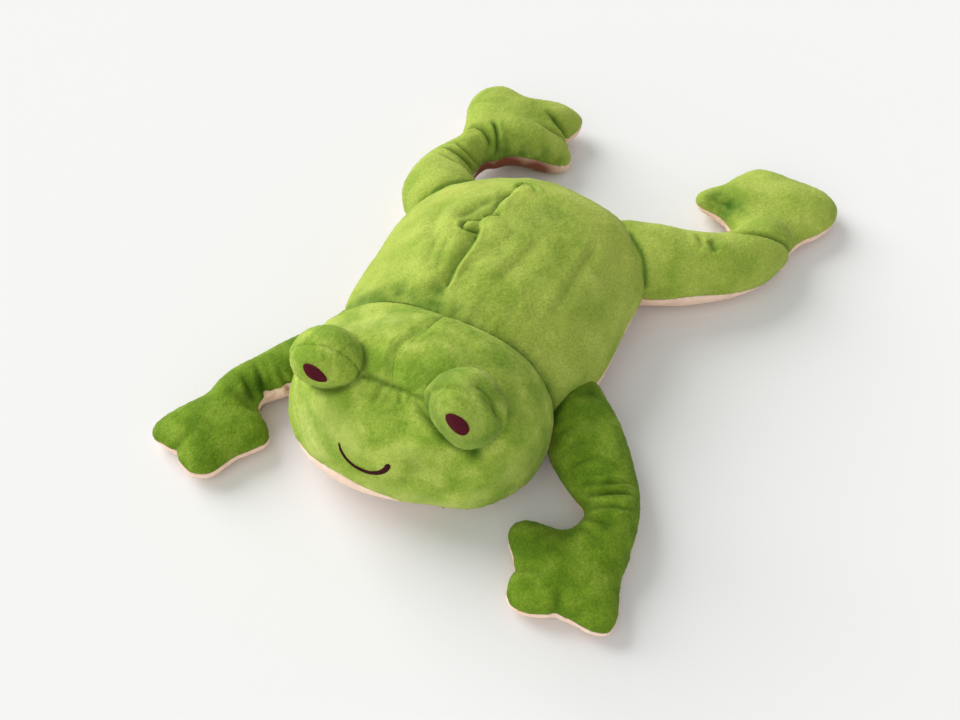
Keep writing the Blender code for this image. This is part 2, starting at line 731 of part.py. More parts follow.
def make_mouth():
    """The smile, a round satin cord that follows the face."""
    curve = bpy.data.curves.new("mouth_embroidery", "CURVE")
    curve.dimensions = "3D"
    curve.bevel_depth = MOUTH_THREAD_RADIUS
    curve.bevel_resolution = 1
    curve.use_fill_caps = True
    spline = curve.splines.new("POLY")
    spline.points.add(MOUTH_POINTS - 1)
    lift = MOUTH_THREAD_RADIUS + SEAM_GAP
    for index, point in enumerate(spline.points):
        share = 2.0 * index / (MOUTH_POINTS - 1) - 1.0
        z = HEAD_SEAM_Z + MOUTH_END_RISE - MOUTH_DROP * (1.0 - share * share)
        place = face_point(MOUTH_ASIDE + share * MOUTH_HALF_WIDTH, z, lift)
        point.co = (*(place - NECK.place), 1.0)
    thing = bpy.data.objects.new("mouth_embroidery", curve)
    curve.materials.append(SATIN)
    PARTS.objects.link(thing)
    thing.parent = NECK.empty


make_mouth()


def make_cheek_tool(limb):
    """A block round the head's side, which keeps the arm's root off the cheek."""
    side = limb.spot.side
    edge = side * (HEAD_HALF_WIDTH + ARM_CHEEK_CLEAR)
    behind = limb.root.y - limb.kind.ball_radius - SEAM_GAP
    return box(limb.spot.stem + "_cheek", (min(0.0, edge), NOSE_Y - OVERRUN, -OVERRUN),
               (max(0.0, edge), behind, TALL))


def make_limb_pieces(limb):
    """One limb's panels and stuffing, and its paw or foot."""
    stem, pad_stem, kind = limb.spot.stem, limb.spot.pad_stem, limb.kind
    cloth = PLUSH_DEEP if kind.shade == "deep" else PLUSH_GREEN
    root = Pivot(stem + "_axis", limb.root)
    span = 2.0 * limb.run
    low = (limb.root.x - span, limb.root.y - span)
    high = (limb.root.x + span, limb.root.y + span)
    top = box(stem + "_top_keep", (*low, limb.end_z + HALF_GAP), (*high, TALL))
    under = box(stem + "_under_keep", (*low, -OVERRUN), (*high, limb.end_z - HALF_GAP))
    make_panels(limb.form, stem, root,
                ((stem + "_top_panel", top, cloth), (stem + "_under_panel", under, PLUSH_PINK)),
                [make_cheek_tool(limb), HEAD_SEAT] if kind.by_cheek else [])

    pad = Pad(limb)
    pad_top, pad_under = pad.keeps(pad_stem)
    make_panels(pad.form, pad_stem, Pivot(pad_stem + "_axis", limb.centre(1.0), root),
                ((pad_stem + "_top_panel", pad_top, cloth),
                 (pad_stem + "_under_panel", pad_under, PLUSH_PINK)), [limb.end_space()])


for limb in LIMBS:
    make_limb_pieces(limb)
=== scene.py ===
"""The plush frog as it looks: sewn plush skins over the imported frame.

Sizes are millimetres in the frame's axes: +Z up, the frog faces -Y and +X is its own left.
Every stuffed form starts as closed shells worked out on grids.  The shells are fused by a
voxel remesh and relaxed, numpy gives them their folds, seams and pile, and they are cut
along their seams into the cloth pieces that are sewn together on the real toy.
"""

from __future__ import annotations

import logging
import math
from dataclasses import dataclass, field
from enum import Enum

import bpy
import numpy as np
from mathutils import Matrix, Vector

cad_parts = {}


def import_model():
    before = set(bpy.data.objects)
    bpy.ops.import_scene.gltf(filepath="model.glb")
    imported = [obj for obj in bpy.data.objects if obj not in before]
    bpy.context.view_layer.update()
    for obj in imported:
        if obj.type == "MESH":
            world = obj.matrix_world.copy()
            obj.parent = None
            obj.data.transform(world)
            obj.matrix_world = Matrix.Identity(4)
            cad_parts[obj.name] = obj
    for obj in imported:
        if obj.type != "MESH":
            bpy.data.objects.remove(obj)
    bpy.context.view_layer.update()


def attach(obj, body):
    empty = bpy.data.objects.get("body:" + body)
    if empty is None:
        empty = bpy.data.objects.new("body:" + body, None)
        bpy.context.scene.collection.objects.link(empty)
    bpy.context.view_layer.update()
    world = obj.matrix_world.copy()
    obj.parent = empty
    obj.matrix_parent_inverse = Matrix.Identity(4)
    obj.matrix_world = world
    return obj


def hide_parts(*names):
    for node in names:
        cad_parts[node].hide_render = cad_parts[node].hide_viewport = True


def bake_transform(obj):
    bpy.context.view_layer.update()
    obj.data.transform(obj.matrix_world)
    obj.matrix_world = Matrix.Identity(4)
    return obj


Array = np.ndarray
Triple = tuple[float, float, float]
# What a node's input gets: a number, a colour, or the output that leads to it
Feed = float | tuple[float, ...] | bpy.types.NodeSocket

LOG = logging.getLogger("plush_frog")
MM = 0.001
# The cloth's thickness
CLOTH = 1.8
# Voxels of a finished skin, and of the first, rough fusing
FINE_VOXEL = 0.85
COARSE_VOXEL = 2.2
# How far a limb's root sinks into the body
TUCK = 2.0
# How far an eye, and a limb that passes it, sink into the head
HEAD_TUCK = 1.5
# How far the body's neck stands off the head
NECK_GAP = 0.12
# Sections that round off each end of a tube
END_ROWS = 10
# The power that a pad's faces fall off by
PAD_POWER = 2.6
# How much of a crease's height over or under the skin is left out of its distance, squared
HEIGHT_SHARE = 0.84
# Painted shade deeper than this gets no painted light
PAINTED_SHADE_KEPT = 0.25
# Numbers that mix a cell's place, the seed and the bits of both into noise
CELL_MIX = (73856093, 19349663, 83492791)
SEED_MIX = 2654435761
BIT_MIX = (2246822519, 3266489917)
WORD = 0xFFFFFFFF


class Side(Enum):
    """The frog's own left, towards +X, or its right."""

    LEFT = "left"
    RIGHT = "right"


class Slot(Enum):
    """The record's material slots."""

    GREEN = "plush_green"
    DEEP = "plush_deep_green"
    PINK = "plush_pink"
    SATIN = "satin_maroon"


def smooth(share: Array) -> Array:
    """Ease from 0 to 1: 3 s^2 - 2 s^3, held at both ends."""
    held = np.clip(share, 0.0, 1.0)
    return held * held * (3.0 - 2.0 * held)


def unit(lines: Array) -> Array:
    """Scale each row to length 1."""
    return lines / np.maximum(np.linalg.norm(lines, axis=-1, keepdims=True), 1e-9)


def flow(rows: Array, count: int, closed: bool = False) -> Array:
    """Draw a smooth line through rows: the Catmull-Rom cubic of each row and its neighbours.

    Args:
        rows: Control rows (k, d), such as points or stations.
        count: How many rows to return, evenly spaced in the control rows' numbering.
        closed: Whether the line runs back to its first row.

    Returns:
        The sampled rows (count, d).
    """
    rows = np.asarray(rows, float)
    if closed:
        ends = np.vstack([rows[-1:], rows, rows[:2]])
        place = np.linspace(0.0, len(rows), count, endpoint=False)
        last = len(rows) - 1
    else:
        ends = np.vstack([2.0 * rows[:1] - rows[1:2], rows, 2.0 * rows[-1:] - rows[-2:-1]])
        place = np.linspace(0.0, len(rows) - 1.0, count)
        last = len(rows) - 2
    index = np.minimum(place.astype(int), last)
    part = (place - index)[:, None]
    a, b, c, d = (ends[index + step] for step in range(4))
    return 0.5 * (2.0 * b + (c - a) * part + (2.0 * a - 5.0 * b + 4.0 * c - d) * part ** 2
                  + (3.0 * b - a - 3.0 * c + d) * part ** 3)


def lattice(cells: Array, seed: int) -> Array:
    """Give each whole-numbered cell its own value, by mixing its bits.

    Args:
        cells: Cells (n, 3).
        seed: Which values.

    Returns:
        Values from -1 to 1, (n,).
    """
    mixed = cells[:, 0] * CELL_MIX[0] ^ cells[:, 1] * CELL_MIX[1] ^ cells[:, 2] * CELL_MIX[2]
    mixed = (mixed ^ seed * SEED_MIX) & WORD
    mixed = ((mixed ^ (mixed >> 15)) * BIT_MIX[0]) & WORD
    mixed = ((mixed ^ (mixed >> 13)) * BIT_MIX[1]) & WORD
    return ((mixed ^ (mixed >> 16)) & 0xFFFFFF) / float(0x7FFFFF) - 1.0


def ripple(points: Array, cell: float, seed: int) -> Array:
    """Smooth value noise: the lattice values at a cell's 8 corners, eased between.

    Args:
        points: Places (n, 3).
        cell: Size of one bump.
        seed: Which noise.

    Returns:
        Values from -1 to 1, (n,).
    """
    scaled = points / cell
    base = np.floor(scaled).astype(np.int64)
    part = smooth(scaled - base)
    total = np.zeros(len(points))
    for corner in range(8):
        step = np.array([(corner >> axis) & 1 for axis in range(3)])
        weight = np.prod(np.where(step == 1, part, 1.0 - part), axis=1)
        total += weight * lattice(base + step, seed)
    return total


def beside(points: Array, line: tuple[tuple[float, float], ...]) -> Array:
    """Measure how far to the left of a seam that runs along Y each point lies.

    Args:
        points: Places (n, 3).
        line: The seam's y and x.

    Returns:
        Distances along X, (n,), below 0 on the right.
    """
    places = np.array(line)
    return points[:, 0] - np.interp(points[:, 1], places[:, 0], places[:, 1])


@dataclass
class Skin:
    """A triangle skin in millimetres that faces outwards.

    Its fold values are the shade painted on each point, up to 1, deepest in folds.  Below 0 they are painted
    light, which makes the pile paler.
    """

    points: Array
    faces: Array
    painted_shading: Array = field(default_factory=lambda: np.zeros(0))

    def __post_init__(self) -> None:
        """Start with no painted shade or light."""
        if len(self.painted_shading) != len(self.points):
            self.painted_shading = np.zeros(len(self.points))

    def normals(self) -> Array:
        """Work out the outward normals.

        Returns:
            One normal per point (n, 3), its triangles' normals weighted by their areas.
        """
        a, b, c = (self.points[self.faces[:, corner]] for corner in range(3))
        square = np.cross(b - a, c - a)
        total = np.stack([sum(np.bincount(self.faces[:, corner], square[:, axis], len(self.points))
                              for corner in range(3)) for axis in range(3)], axis=1)
        return unit(total)

    def relax(self, rounds: int) -> Skin:
        """Smooth the skin: every point goes half way to the mean of its neighbours.

        Args:
            rounds: How often.

        Returns:
            This skin.
        """
        pairs = np.concatenate([self.faces[:, [0, 1]], self.faces[:, [1, 2]], self.faces[:, [2, 0]]])
        start, end = pairs[:, 0], pairs[:, 1]
        count = np.maximum(np.bincount(start, minlength=len(self.points)), 1)[:, None]
        for _ in range(rounds):
            mean = np.stack([np.bincount(start, self.points[end, axis], len(self.points))
                             for axis in range(3)], axis=1) / count
            self.points = self.points + 0.5 * (mean - self.points)
        return self

    def push(self, amount: Array) -> Skin:
        """Move every point along the outward normal of the smoothed skin.

        Args:
            amount: How far each point moves, (n,).

        Returns:
            This skin.
        """
        smoothed = Skin(self.points, self.faces).relax(2)
        self.points = self.points + smoothed.normals() * amount[:, None]
        return self

    def rest_on_floor(self) -> Skin:
        """Flatten what lies below the floor."""
        self.points[:, 2] = np.maximum(self.points[:, 2], 0.0)
        return self

    def cut(self, level: Array) -> tuple[Skin, Skin]:
        """Cut along level = 0, where each crossed edge is split in proportion to its levels.

        Args:
            level: One signed value per point.

        Returns:
            The skin where level is above 0, and the skin where it is below.
        """
        level = np.where(np.abs(level) < 1e-6, 1e-6, level)
        above = level[self.faces] > 0.0
        count = above.sum(axis=1)
        mixed = (count == 1) | (count == 2)
        faces, above = self.faces[mixed], above[mixed]
        lone = np.where(count[mixed] == 1, above.argmax(axis=1), (~above).argmax(axis=1))
        turned = np.take_along_axis(faces, (lone[:, None] + np.arange(3)) % 3, axis=1)
        a, b, c = turned.T
        edges = np.sort(np.concatenate([np.stack([a, b], 1), np.stack([a, c], 1)]), axis=1)
        edges, where = np.unique(edges, axis=0, return_inverse=True)
        where = where.reshape(-1)
        p, q = edges.T
        part = level[p] / (level[p] - level[q])
        points = np.vstack([self.points, self.points[p] + part[:, None] * (self.points[q] - self.points[p])])
        painted_shading = np.concatenate([self.painted_shading, self.painted_shading[p] + part * (self.painted_shading[q] - self.painted_shading[p])])
        ab, ac = len(self.points) + where[:len(a)], len(self.points) + where[len(a):]
        tips = np.stack([a, ab, ac], 1)
        bases = np.concatenate([np.stack([ab, b, c], 1), np.stack([ab, c, ac], 1)])
        lone_above = count[mixed] == 1
        twice = np.concatenate([lone_above, lone_above])
        high = np.concatenate([self.faces[count == 3], tips[lone_above], bases[~twice]])
        low = np.concatenate([self.faces[count == 0], tips[~lone_above], bases[twice]])
        return Skin(points, high, painted_shading).trimmed(), Skin(points, low, painted_shading).trimmed()

    def trimmed(self) -> Skin:
        """Drop the points that no face uses.

        Returns:
            The smaller skin.
        """
        used = np.zeros(len(self.points), bool)
        used[self.faces.ravel()] = True
        number = np.cumsum(used) - 1
        return Skin(self.points[used], number[self.faces], self.painted_shading[used])


def to_mesh(name: str, skin: Skin) -> bpy.types.Mesh:
    """Put a skin's arrays into a Blender mesh.

    Args:
        name: The mesh's name.
        skin: The skin, in millimetres.

    Returns:
        The mesh, in metres, shaded smooth.
    """
    mesh = bpy.data.meshes.new(name)
    mesh.vertices.add(len(skin.points))
    mesh.vertices.foreach_set("co", (skin.points * MM).astype(np.float32).ravel())
    mesh.loops.add(3 * len(skin.faces))
    mesh.loops.foreach_set("vertex_index", skin.faces.astype(np.int32).ravel())
    mesh.polygons.add(len(skin.faces))
    mesh.polygons.foreach_set("loop_start", np.arange(0, 3 * len(skin.faces), 3, dtype=np.int32))
    mesh.update(calc_edges=True)
    mesh.shade_smooth()
    return mesh


def from_mesh(mesh: bpy.types.Mesh) -> Skin:
    """Read a Blender mesh as a skin.

    Args:
        mesh: The mesh, in metres.

    Returns:
        The skin, in millimetres.
    """
    points = np.empty(3 * len(mesh.vertices), np.float32)
    mesh.vertices.foreach_get("co", points)
    mesh.calc_loop_triangles()
    faces = np.empty(3 * len(mesh.loop_triangles), np.int32)
    mesh.loop_triangles.foreach_get("vertices", faces)
    return Skin(points.reshape(-1, 3).astype(float) / MM, faces.reshape(-1, 3).astype(np.int64))


def remesh(shells: list[Skin], voxel: float) -> Skin:
    """Fuse closed shells into one even skin by a voxel remesh.

    Args:
        shells: The shells, which may overlap.
        voxel: How fine the new skin is.

    Returns:
        The fused skin.
    """
    starts = np.cumsum([0] + [len(shell.points) for shell in shells])
    joined = Skin(np.vstack([shell.points for shell in shells]),
                  np.vstack([shell.faces + start for shell, start in zip(shells, starts)]))
    thing = bpy.data.objects.new("fusing", to_mesh("fusing", joined))
    bpy.context.scene.collection.objects.link(thing)
    modifier = thing.modifiers.new("fuse", "REMESH")
    modifier.mode = "VOXEL"
    modifier.voxel_size = voxel * MM
    shaped = thing.evaluated_get(bpy.context.evaluated_depsgraph_get())
    skin = from_mesh(shaped.to_mesh())
    shaped.to_mesh_clear()
    mesh = thing.data
    bpy.data.objects.remove(thing)
    bpy.data.meshes.remove(mesh)
    return skin


def stuffed(shells: list[Skin], coarse_rounds: int, fine_rounds: int) -> Skin:
    """Fuse shells and round off where they meet, first coarsely and then finely.

    Args:
        shells: The closed shells.
        coarse_rounds: How often the coarse skin is smoothed.
        fine_rounds: How often the fine one is.

    Returns:
        The fine skin.
    """
    coarse = remesh(shells, COARSE_VOXEL).relax(coarse_rounds)
    return remesh([coarse], FINE_VOXEL).relax(fine_rounds)


def grid_skin(grid: Array) -> Skin:
    """Close a grid of rings at both ends by its end rings' middles.

    Args:
        grid: Rings one after the other (rows, columns, 3).

    Returns:
        The closed skin, turned so that it faces outwards.
    """
    rows, columns = grid.shape[:2]
    points = np.vstack([grid.reshape(-1, 3), grid[0].mean(axis=0), grid[-1].mean(axis=0)])
    row, column = np.meshgrid(np.arange(rows - 1), np.arange(columns), indexing="ij")
    after = (column + 1) % columns
    a, b = row * columns + column, row * columns + after
    c, d = a + columns, b + columns
    sides = np.concatenate([np.stack([a, c, b], -1).reshape(-1, 3), np.stack([b, c, d], -1).reshape(-1, 3)])
    ring = np.arange(columns)
    onward = (ring + 1) % columns
    foot = (rows - 1) * columns
    first = np.stack([np.full(columns, rows * columns), ring, onward], 1)
    last = np.stack([np.full(columns, rows * columns + 1), foot + onward, foot + ring], 1)
    faces = np.concatenate([sides, first, last])
    p, q, r = (points[faces[:, corner]] for corner in range(3))
    if np.einsum("ij,ij->i", p, np.cross(q, r)).sum() < 0.0:
        faces = faces[:, ::-1]
    return Skin(points, faces)


def sweep(stations: Array, rows: int = 90, columns: int = 56) -> Skin:
    """A stuffed tube: an oval carried along a line, square to its level direction.

    Both ends close as half ovals: over END_ROWS sections more the section shrinks by the
    cosine of a turn while its middle goes on by the sine of it.

    Args:
        stations: Rows of x, y, z, half width and half height along the tube.
        rows: Sections along the line.
        columns: Points round each section.

    Returns:
        The closed skin.
    """
    line = flow(stations, rows)
    heading = unit(np.gradient(line[:, :2], axis=0))
    turns = np.radians(np.linspace(8.0, 86.0, END_ROWS))
    spread = np.concatenate([np.cos(turns[::-1]), np.ones(rows), np.cos(turns)])
    pick = np.concatenate([np.zeros(END_ROWS, int), np.arange(rows), np.full(END_ROWS, rows - 1)])
    ahead = np.concatenate([-np.sin(turns[::-1]) * line[0, 3], np.zeros(rows), np.sin(turns) * line[-1, 3]])
    centre = line[pick, :3]
    centre[:, :2] += heading[pick] * ahead[:, None]
    angle = np.linspace(0.0, 2.0 * np.pi, columns, endpoint=False)
    across = np.stack([-heading[pick, 1], heading[pick, 0], np.zeros(len(pick))], axis=1)
    wide = (line[pick, 3] * spread)[:, None, None] * np.cos(angle)[None, :, None]
    tall = (line[pick, 4] * spread)[:, None] * np.sin(angle)[None, :]
    grid = centre[:, None, :] + across[:, None, :] * wide
    grid[:, :, 2] += tall
    return grid_skin(grid)


def pillow(outline: Array, hub: Array, crown: float, sole: float) -> Skin:
    """A flat pad: its seam outline shrinks to the hub while its faces swell.

    At a share s of the way from hub to seam a face stands (1 - s^2.6)^(1/2) of its height
    from the surface that spans the seam and the hub.

    Args:
        outline: Points (k, 3) round the seam.
        hub: The middle point, in the seam's surface.
        crown: Height of the upper face over the hub.
        sole: Depth of the lower face under it.

    Returns:
        The closed skin.
    """
    edge = flow(outline, 120, closed=True)
    turn = np.radians(np.linspace(4.0, 176.0, 42))
    share = np.sin(turn)[:, None, None] ** (2.0 / PAD_POWER)
    grid = hub + (edge[None, :, :] - hub) * share
    grid[:, :, 2] += (np.cos(turn) * np.where(turn < math.pi / 2.0, crown, sole))[:, None]
    return grid_skin(grid)


@dataclass(frozen=True)
class Crease:
    """A sewn or pressed line in the cloth, as points near the skin.

    The skin sinks by depth x e^-(d / width)^1.4 at a distance d from the line, which counts
    little of how far the line lies over or under the skin, and swells by ridge at 2.2 widths
    from it.  On the left of someone who walks along the points the valley is slack times as
    wide.  It fades out over the share fade of its length, at the start too unless open_start.
    The shade painted along it is 0.6 of a bell 0.8 widths wide and 0.4 of one 1.3 widths wide.
    """

    points: tuple[Triple, ...]
    depth: float
    width: float
    ridge: float = 0.0
    shade: float = 0.35
    slack: float = 1.0
    fade: float = 0.25
    open_start: bool = False

    def press(self, skin: Skin, normals: Array, amount: Array) -> None:
        """Add this crease to the amounts by which a skin's points will be pushed.

        Args:
            skin: The skin, on which shade is painted along the line.
            normals: Its normals.
            amount: The outward amounts so far, changed in place.
        """
        line = flow(np.array(self.points), 12 * len(self.points))
        reach = 3.5 * self.width * max(1.0, self.slack) + 2.0
        low, high = line.min(axis=0) - reach, line.max(axis=0) + reach
        near = np.flatnonzero(((skin.points > low) & (skin.points < high)).all(axis=1))
        if not len(near):
            return
        start, run = line[:-1], np.diff(line, axis=0)
        offset = skin.points[near, None, :] - start[None, :, :]
        share = np.clip((offset * run).sum(-1) / (run * run).sum(-1), 0.0, 1.0)
        gap = offset - share[:, :, None] * run
        distance = np.linalg.norm(gap, axis=-1)
        best = distance.argmin(axis=1)
        pick = np.arange(len(near))
        height = (gap[pick, best] * normals[near]).sum(-1)
        d = np.sqrt(np.maximum(distance[pick, best] ** 2 - HEIGHT_SHARE * height ** 2, 0.0))
        along = (best + share[pick, best]) / len(run)
        taper = smooth((1.0 - along) / self.fade)
        if not self.open_start:
            taper = taper * smooth(along / self.fade)
        left = (np.cross(run[best], gap[pick, best]) * normals[near]).sum(-1) > 0.0
        width = self.width * np.where(left, self.slack, 1.0)
        valley = np.exp(-(d / width) ** 1.4)
        bank = np.exp(-((d - 2.2 * width) / (1.2 * width)) ** 2)
        amount[near] += taper * (self.ridge * bank - self.depth * valley)
        # Shade painted along the line
        painted_shade = self.shade * taper * (0.6 * np.exp(-(d / (0.8 * self.width)) ** 2)
                                     + 0.4 * np.exp(-(d / (1.3 * width)) ** 2))
        skin.painted_shading[near] = np.maximum(skin.painted_shading[near], painted_shade)


@dataclass(frozen=True)
class Swell:
    """A soft rise, or a dent if amount is below 0: amount x e^-(d / radius)^2.

    Its shade is shade painted on the pile there, evenly from 1.5 on, and below 0 it is light painted on the
    pile instead, which makes it paler.
    """

    centre: Triple
    radius: float
    amount: float
    shade: float = 0.0

    def press(self, skin: Skin, normals: Array, amount: Array) -> None:
        """Add this rise to the outward amounts, and its painted shade or light to the skin.

        The painted shade is broken up by noise, less and less as it goes from 1 to 1.5.  Painted light spares
        what lies deep in painted shade.

        Args:
            skin: The skin, whose painted shade and light change.
            normals: Its normals, which a rise doesn't need.
            amount: The outward amounts so far, changed in place.
        """
        d = np.linalg.norm(skin.points - np.array(self.centre), axis=1)
        bump = np.exp(-(d / self.radius) ** 2)
        amount += self.amount * bump
        least = min(max(self.shade - 0.5, 0.5), 1.0)
        patchy = np.clip(0.85 + 0.5 * ripple(skin.points, cell=3.6, seed=7), least, 1.0)
        # Painted shade, or below 0 painted light, which makes the pile paler
        if self.shade >= 0.0:
            skin.painted_shading[:] = np.maximum(skin.painted_shading, self.shade * bump * patchy)
        else:
            lightened_by_paint = skin.painted_shading + self.shade * bump * patchy
            skin.painted_shading[:] = np.where(skin.painted_shading < PAINTED_SHADE_KEPT, lightened_by_paint, skin.painted_shading)


def rises(*rows: tuple[float, ...]) -> tuple[Swell, ...]:
    """Make rises from rows of numbers.

    Args:
        rows: x, y, z, radius, amount and, if there is one, shade of each.

    Returns:
        The rises.
    """
    return tuple(Swell(row[:3], *row[3:]) for row in rows)


@dataclass(frozen=True)
class SewnSeam:
    """How a seam pulls the cloth in: a groove, and puckers that run away from it.

    At a distance d from the seam the groove is depth x e^-(d / width)^1.5 deep.  The puckers stand 3 widths
    away.  A noise of the seam's pitch and one of half of it make both uneven, and break up the shade painted
    in the groove.
    """

    depth: float = 0.9
    width: float = 1.4
    pucker: float = 0.35
    pitch: float = 5.0
    shade: float = 0.5

    def press(self, skin: Skin, gap: Array, amount: Array, seed: int, strength: Array | float = 1.0) -> None:
        """Add the seam to the outward amounts.

        Args:
            skin: The skin, on which shade is painted in the groove.
            gap: Each point's distance from the seam.
            amount: The outward amounts so far, changed in place.
            seed: Which puckers.
            strength: How strongly the seam shows at each point.
        """
        near = np.abs(gap)
        wave = ripple(skin.points, self.pitch, seed)
        fine = ripple(skin.points, 0.5 * self.pitch, seed + 1)
        groove = np.exp(-(near / self.width) ** 1.5) * (1.0 + 0.35 * wave)
        swell = np.exp(-((near - 3.0 * self.width) / (2.2 * self.width)) ** 2)
        amount += strength * (swell * self.pucker * (0.6 * wave + 0.4 * fine + 0.3) - self.depth * groove)
        # Shade painted in the groove, broken up by the noises
        broken = np.clip(0.55 + 0.8 * fine + 0.3 * wave, 0.05, 1.0)
        painted_shade = strength * self.shade * broken * np.exp(-(near / (0.8 * self.width)) ** 2)
        skin.painted_shading[:] = np.maximum(skin.painted_shading, painted_shade)


@dataclass(frozen=True)
class Nap:
    """The cloth's unevenness: slow sags of the filling and the fine tufts of the pile.

    Among the tufts are finer ones, 0.6 times as high and as wide.
    """

    sag: float = 0.7
    sag_cell: float = 24.0
    lump: float = 0.3
    lump_cell: float = 9.0
    tuft: float = 0.20
    tuft_cell: float = 1.7

    def press(self, skin: Skin, amount: Array, seed: int) -> None:
        """Add sags, lumps and tufts to the outward amounts.

        Args:
            skin: The skin.
            amount: The outward amounts so far, changed in place.
            seed: Which unevenness.
        """
        amount += self.sag * ripple(skin.points, self.sag_cell, seed)
        amount += self.lump * ripple(skin.points, self.lump_cell, seed + 1)
        amount += self.tuft * ripple(skin.points, self.tuft_cell, seed + 2)
        amount += 0.6 * self.tuft * ripple(skin.points, 0.6 * self.tuft_cell, seed + 3)


PLUSH_NAP = Nap()


class Nodes:
    """The node tree of a material or of the world, filled by short calls."""

    def __init__(self, owner: bpy.types.Material | bpy.types.World) -> None:
        """Take the owner's tree."""
        owner.use_nodes = True
        self.tree = owner.node_tree

    def feed(self, node: bpy.types.Node, inputs: dict[str | int, Feed]) -> bpy.types.Node:
        """Set or link a node's inputs.

        Args:
            node: The node.
            inputs: What each input gets, by its name or number.

        Returns:
            The node.
        """
        for socket, value in inputs.items():
            if isinstance(value, bpy.types.NodeSocket):
                self.tree.links.new(value, node.inputs[socket])
            else:
                node.inputs[socket].default_value = value
        return node

    def add(self, kind: str, inputs: dict[str | int, Feed]) -> bpy.types.Node:
        """Add a node of a kind, named without its ShaderNode, and feed it."""
        return self.feed(self.tree.nodes.new(f"ShaderNode{kind}"), inputs)

    def noise(self, cell: float, detail: float, distortion: float = 0.0) -> bpy.types.NodeSocket:
        """Add a noise on the object's own coordinates.

        Args:
            cell: Size of one patch, in millimetres.
            detail: How many finer noises are added to it.
            distortion: How far it is drawn out of shape.

        Returns:
            Its output, which is 0.5 on average.
        """
        place = self.add("TexCoord", {}).outputs["Object"]
        scale = 1.0 / (cell * MM)
        return self.add("TexNoise", {"Vector": place, "Scale": scale, "Detail": detail,
                                     "Distortion": distortion}).outputs["Fac"]

    def ramp(self, source: bpy.types.NodeSocket,
             stops: tuple[tuple[float, Triple], ...]) -> bpy.types.NodeSocket:
        """Turn a noise into colours.

        Args:
            source: The noise.
            stops: Its values, and the colours that they get; between them the colour eases.

        Returns:
            The colour.
        """
        node = self.add("ValToRGB", {"Fac": source})
        ramp = node.color_ramp
        ramp.interpolation = "EASE"
        while len(ramp.elements) < len(stops):
            ramp.elements.new(0.5)
        for element, (position, colour) in zip(ramp.elements, stops):
            element.position = position
            element.color = (*colour, 1.0)
        return node.outputs["Color"]

    def mix(self, share: bpy.types.NodeSocket, first: bpy.types.NodeSocket,
            second: Triple) -> bpy.types.NodeSocket:
        """Mix a colour towards a second one.

        Args:
            share: How much of the second it gets.
            first: The colour.
            second: What it is mixed towards.

        Returns:
            The mixed colour.
        """
        node = self.tree.nodes.new("ShaderNodeMix")
        node.data_type = "RGBA"
        return self.feed(node, {0: share, 6: first, 7: (*second, 1.0)}).outputs[2]

    def dress(self, colour: bpy.types.NodeSocket, bumps: bpy.types.NodeSocket, strength: float,
              height: float, numbers: dict[str | int, Feed]) -> None:
        """Give the surface shader its colour, its bumps and its numbers.

        Args:
            colour: The colour.
            bumps: The noise that stands up from the surface.
            strength: How strongly the bumps show.
            height: How high they stand, in millimetres.
            numbers: The shader's other inputs.
        """
        bump = self.add("Bump", {"Height": bumps, "Strength": strength, "Distance": height * MM})
        self.feed(self.tree.nodes["Principled BSDF"],
                  {**numbers, "Base Color": colour, "Normal": bump.outputs["Normal"]})


@dataclass(frozen=True)
class Plush:
    """A pile cloth: brushed patches of painted light and shade, a fine grain, shade painted in folds, light
    painted where the pile is paler, and a soft sheen.

    patch is half the range of noise from the shaded to the lit colour, and patch_cell the
    size of a patch.  The grain darkens or lightens single tufts by up to that share.
    """

    name: str
    colour: Triple
    lit: Triple
    shaded: Triple
    painted_shade_colour: Triple
    painted_light: Triple
    patch: float
    patch_cell: float
    grain: float
    sheen: float
    sheen_tint: Triple
    bump: float
    tuft_wide: float = 1.1
    pile_wide: float = 0.8
    pile_high: float = 0.6
    roughness: float = 0.92
    specular: float = 0.2
    sheen_roughness: float = 0.45

    def material(self) -> bpy.types.Material:
        """Build the node material once, and reuse it.

        Returns:
            The material: brushed patches of painted light and shade choose between the shaded and the lit
                colour, the grain darkens and lightens single tufts, and the painted shading attribute leads
                to the colour of painted shade in folds, or, where it is below 0, to the colour of painted
                light on paler pile.
        """
        known = bpy.data.materials.get(self.name)
        if known is not None:
            return known
        made = bpy.data.materials.new(self.name)
        nodes = Nodes(made)
        # Patches of painted light and shade in the brushed pile, between the shaded and the lit colour
        patchy = nodes.ramp(nodes.noise(self.patch_cell, detail=4.0, distortion=0.25), (
            (0.5 - self.patch, self.shaded), (0.5, self.colour), (0.5 + self.patch, self.lit)))
        level = nodes.add("MapRange", {
            "Value": nodes.noise(self.tuft_wide, detail=2.0), "From Min": 0.3, "From Max": 0.7,
            "To Min": 1.0 - self.grain, "To Max": 1.0 + self.grain})
        tufts = nodes.tree.nodes.new("ShaderNodeVectorMath")
        tufts.operation = "SCALE"
        nodes.feed(tufts, {0: patchy, "Scale": level.outputs["Result"]})
        # The attribute of shade painted in folds and seams, and of light painted where it is below 0
        painted_shading = nodes.tree.nodes.new("ShaderNodeAttribute")
        painted_shading.attribute_name = "painted_shading"
        painted_light_share = nodes.add("MapRange", {"Value": painted_shading.outputs["Fac"], "From Min": 0.0, "From Max": -1.0})
        with_painted_light = nodes.mix(painted_light_share.outputs["Result"], tufts.outputs["Vector"], self.painted_light)
        with_painted_shade = nodes.mix(painted_shading.outputs["Fac"], with_painted_light, self.painted_shade_colour)
        nodes.dress(with_painted_shade, nodes.noise(self.pile_wide, detail=2.0), self.bump, self.pile_high, {
            "Roughness": self.roughness, "Specular IOR Level": self.specular, "Sheen Weight": self.sheen,
            "Sheen Roughness": self.sheen_roughness, "Sheen Tint": (*self.sheen_tint, 1.0)})
        return made


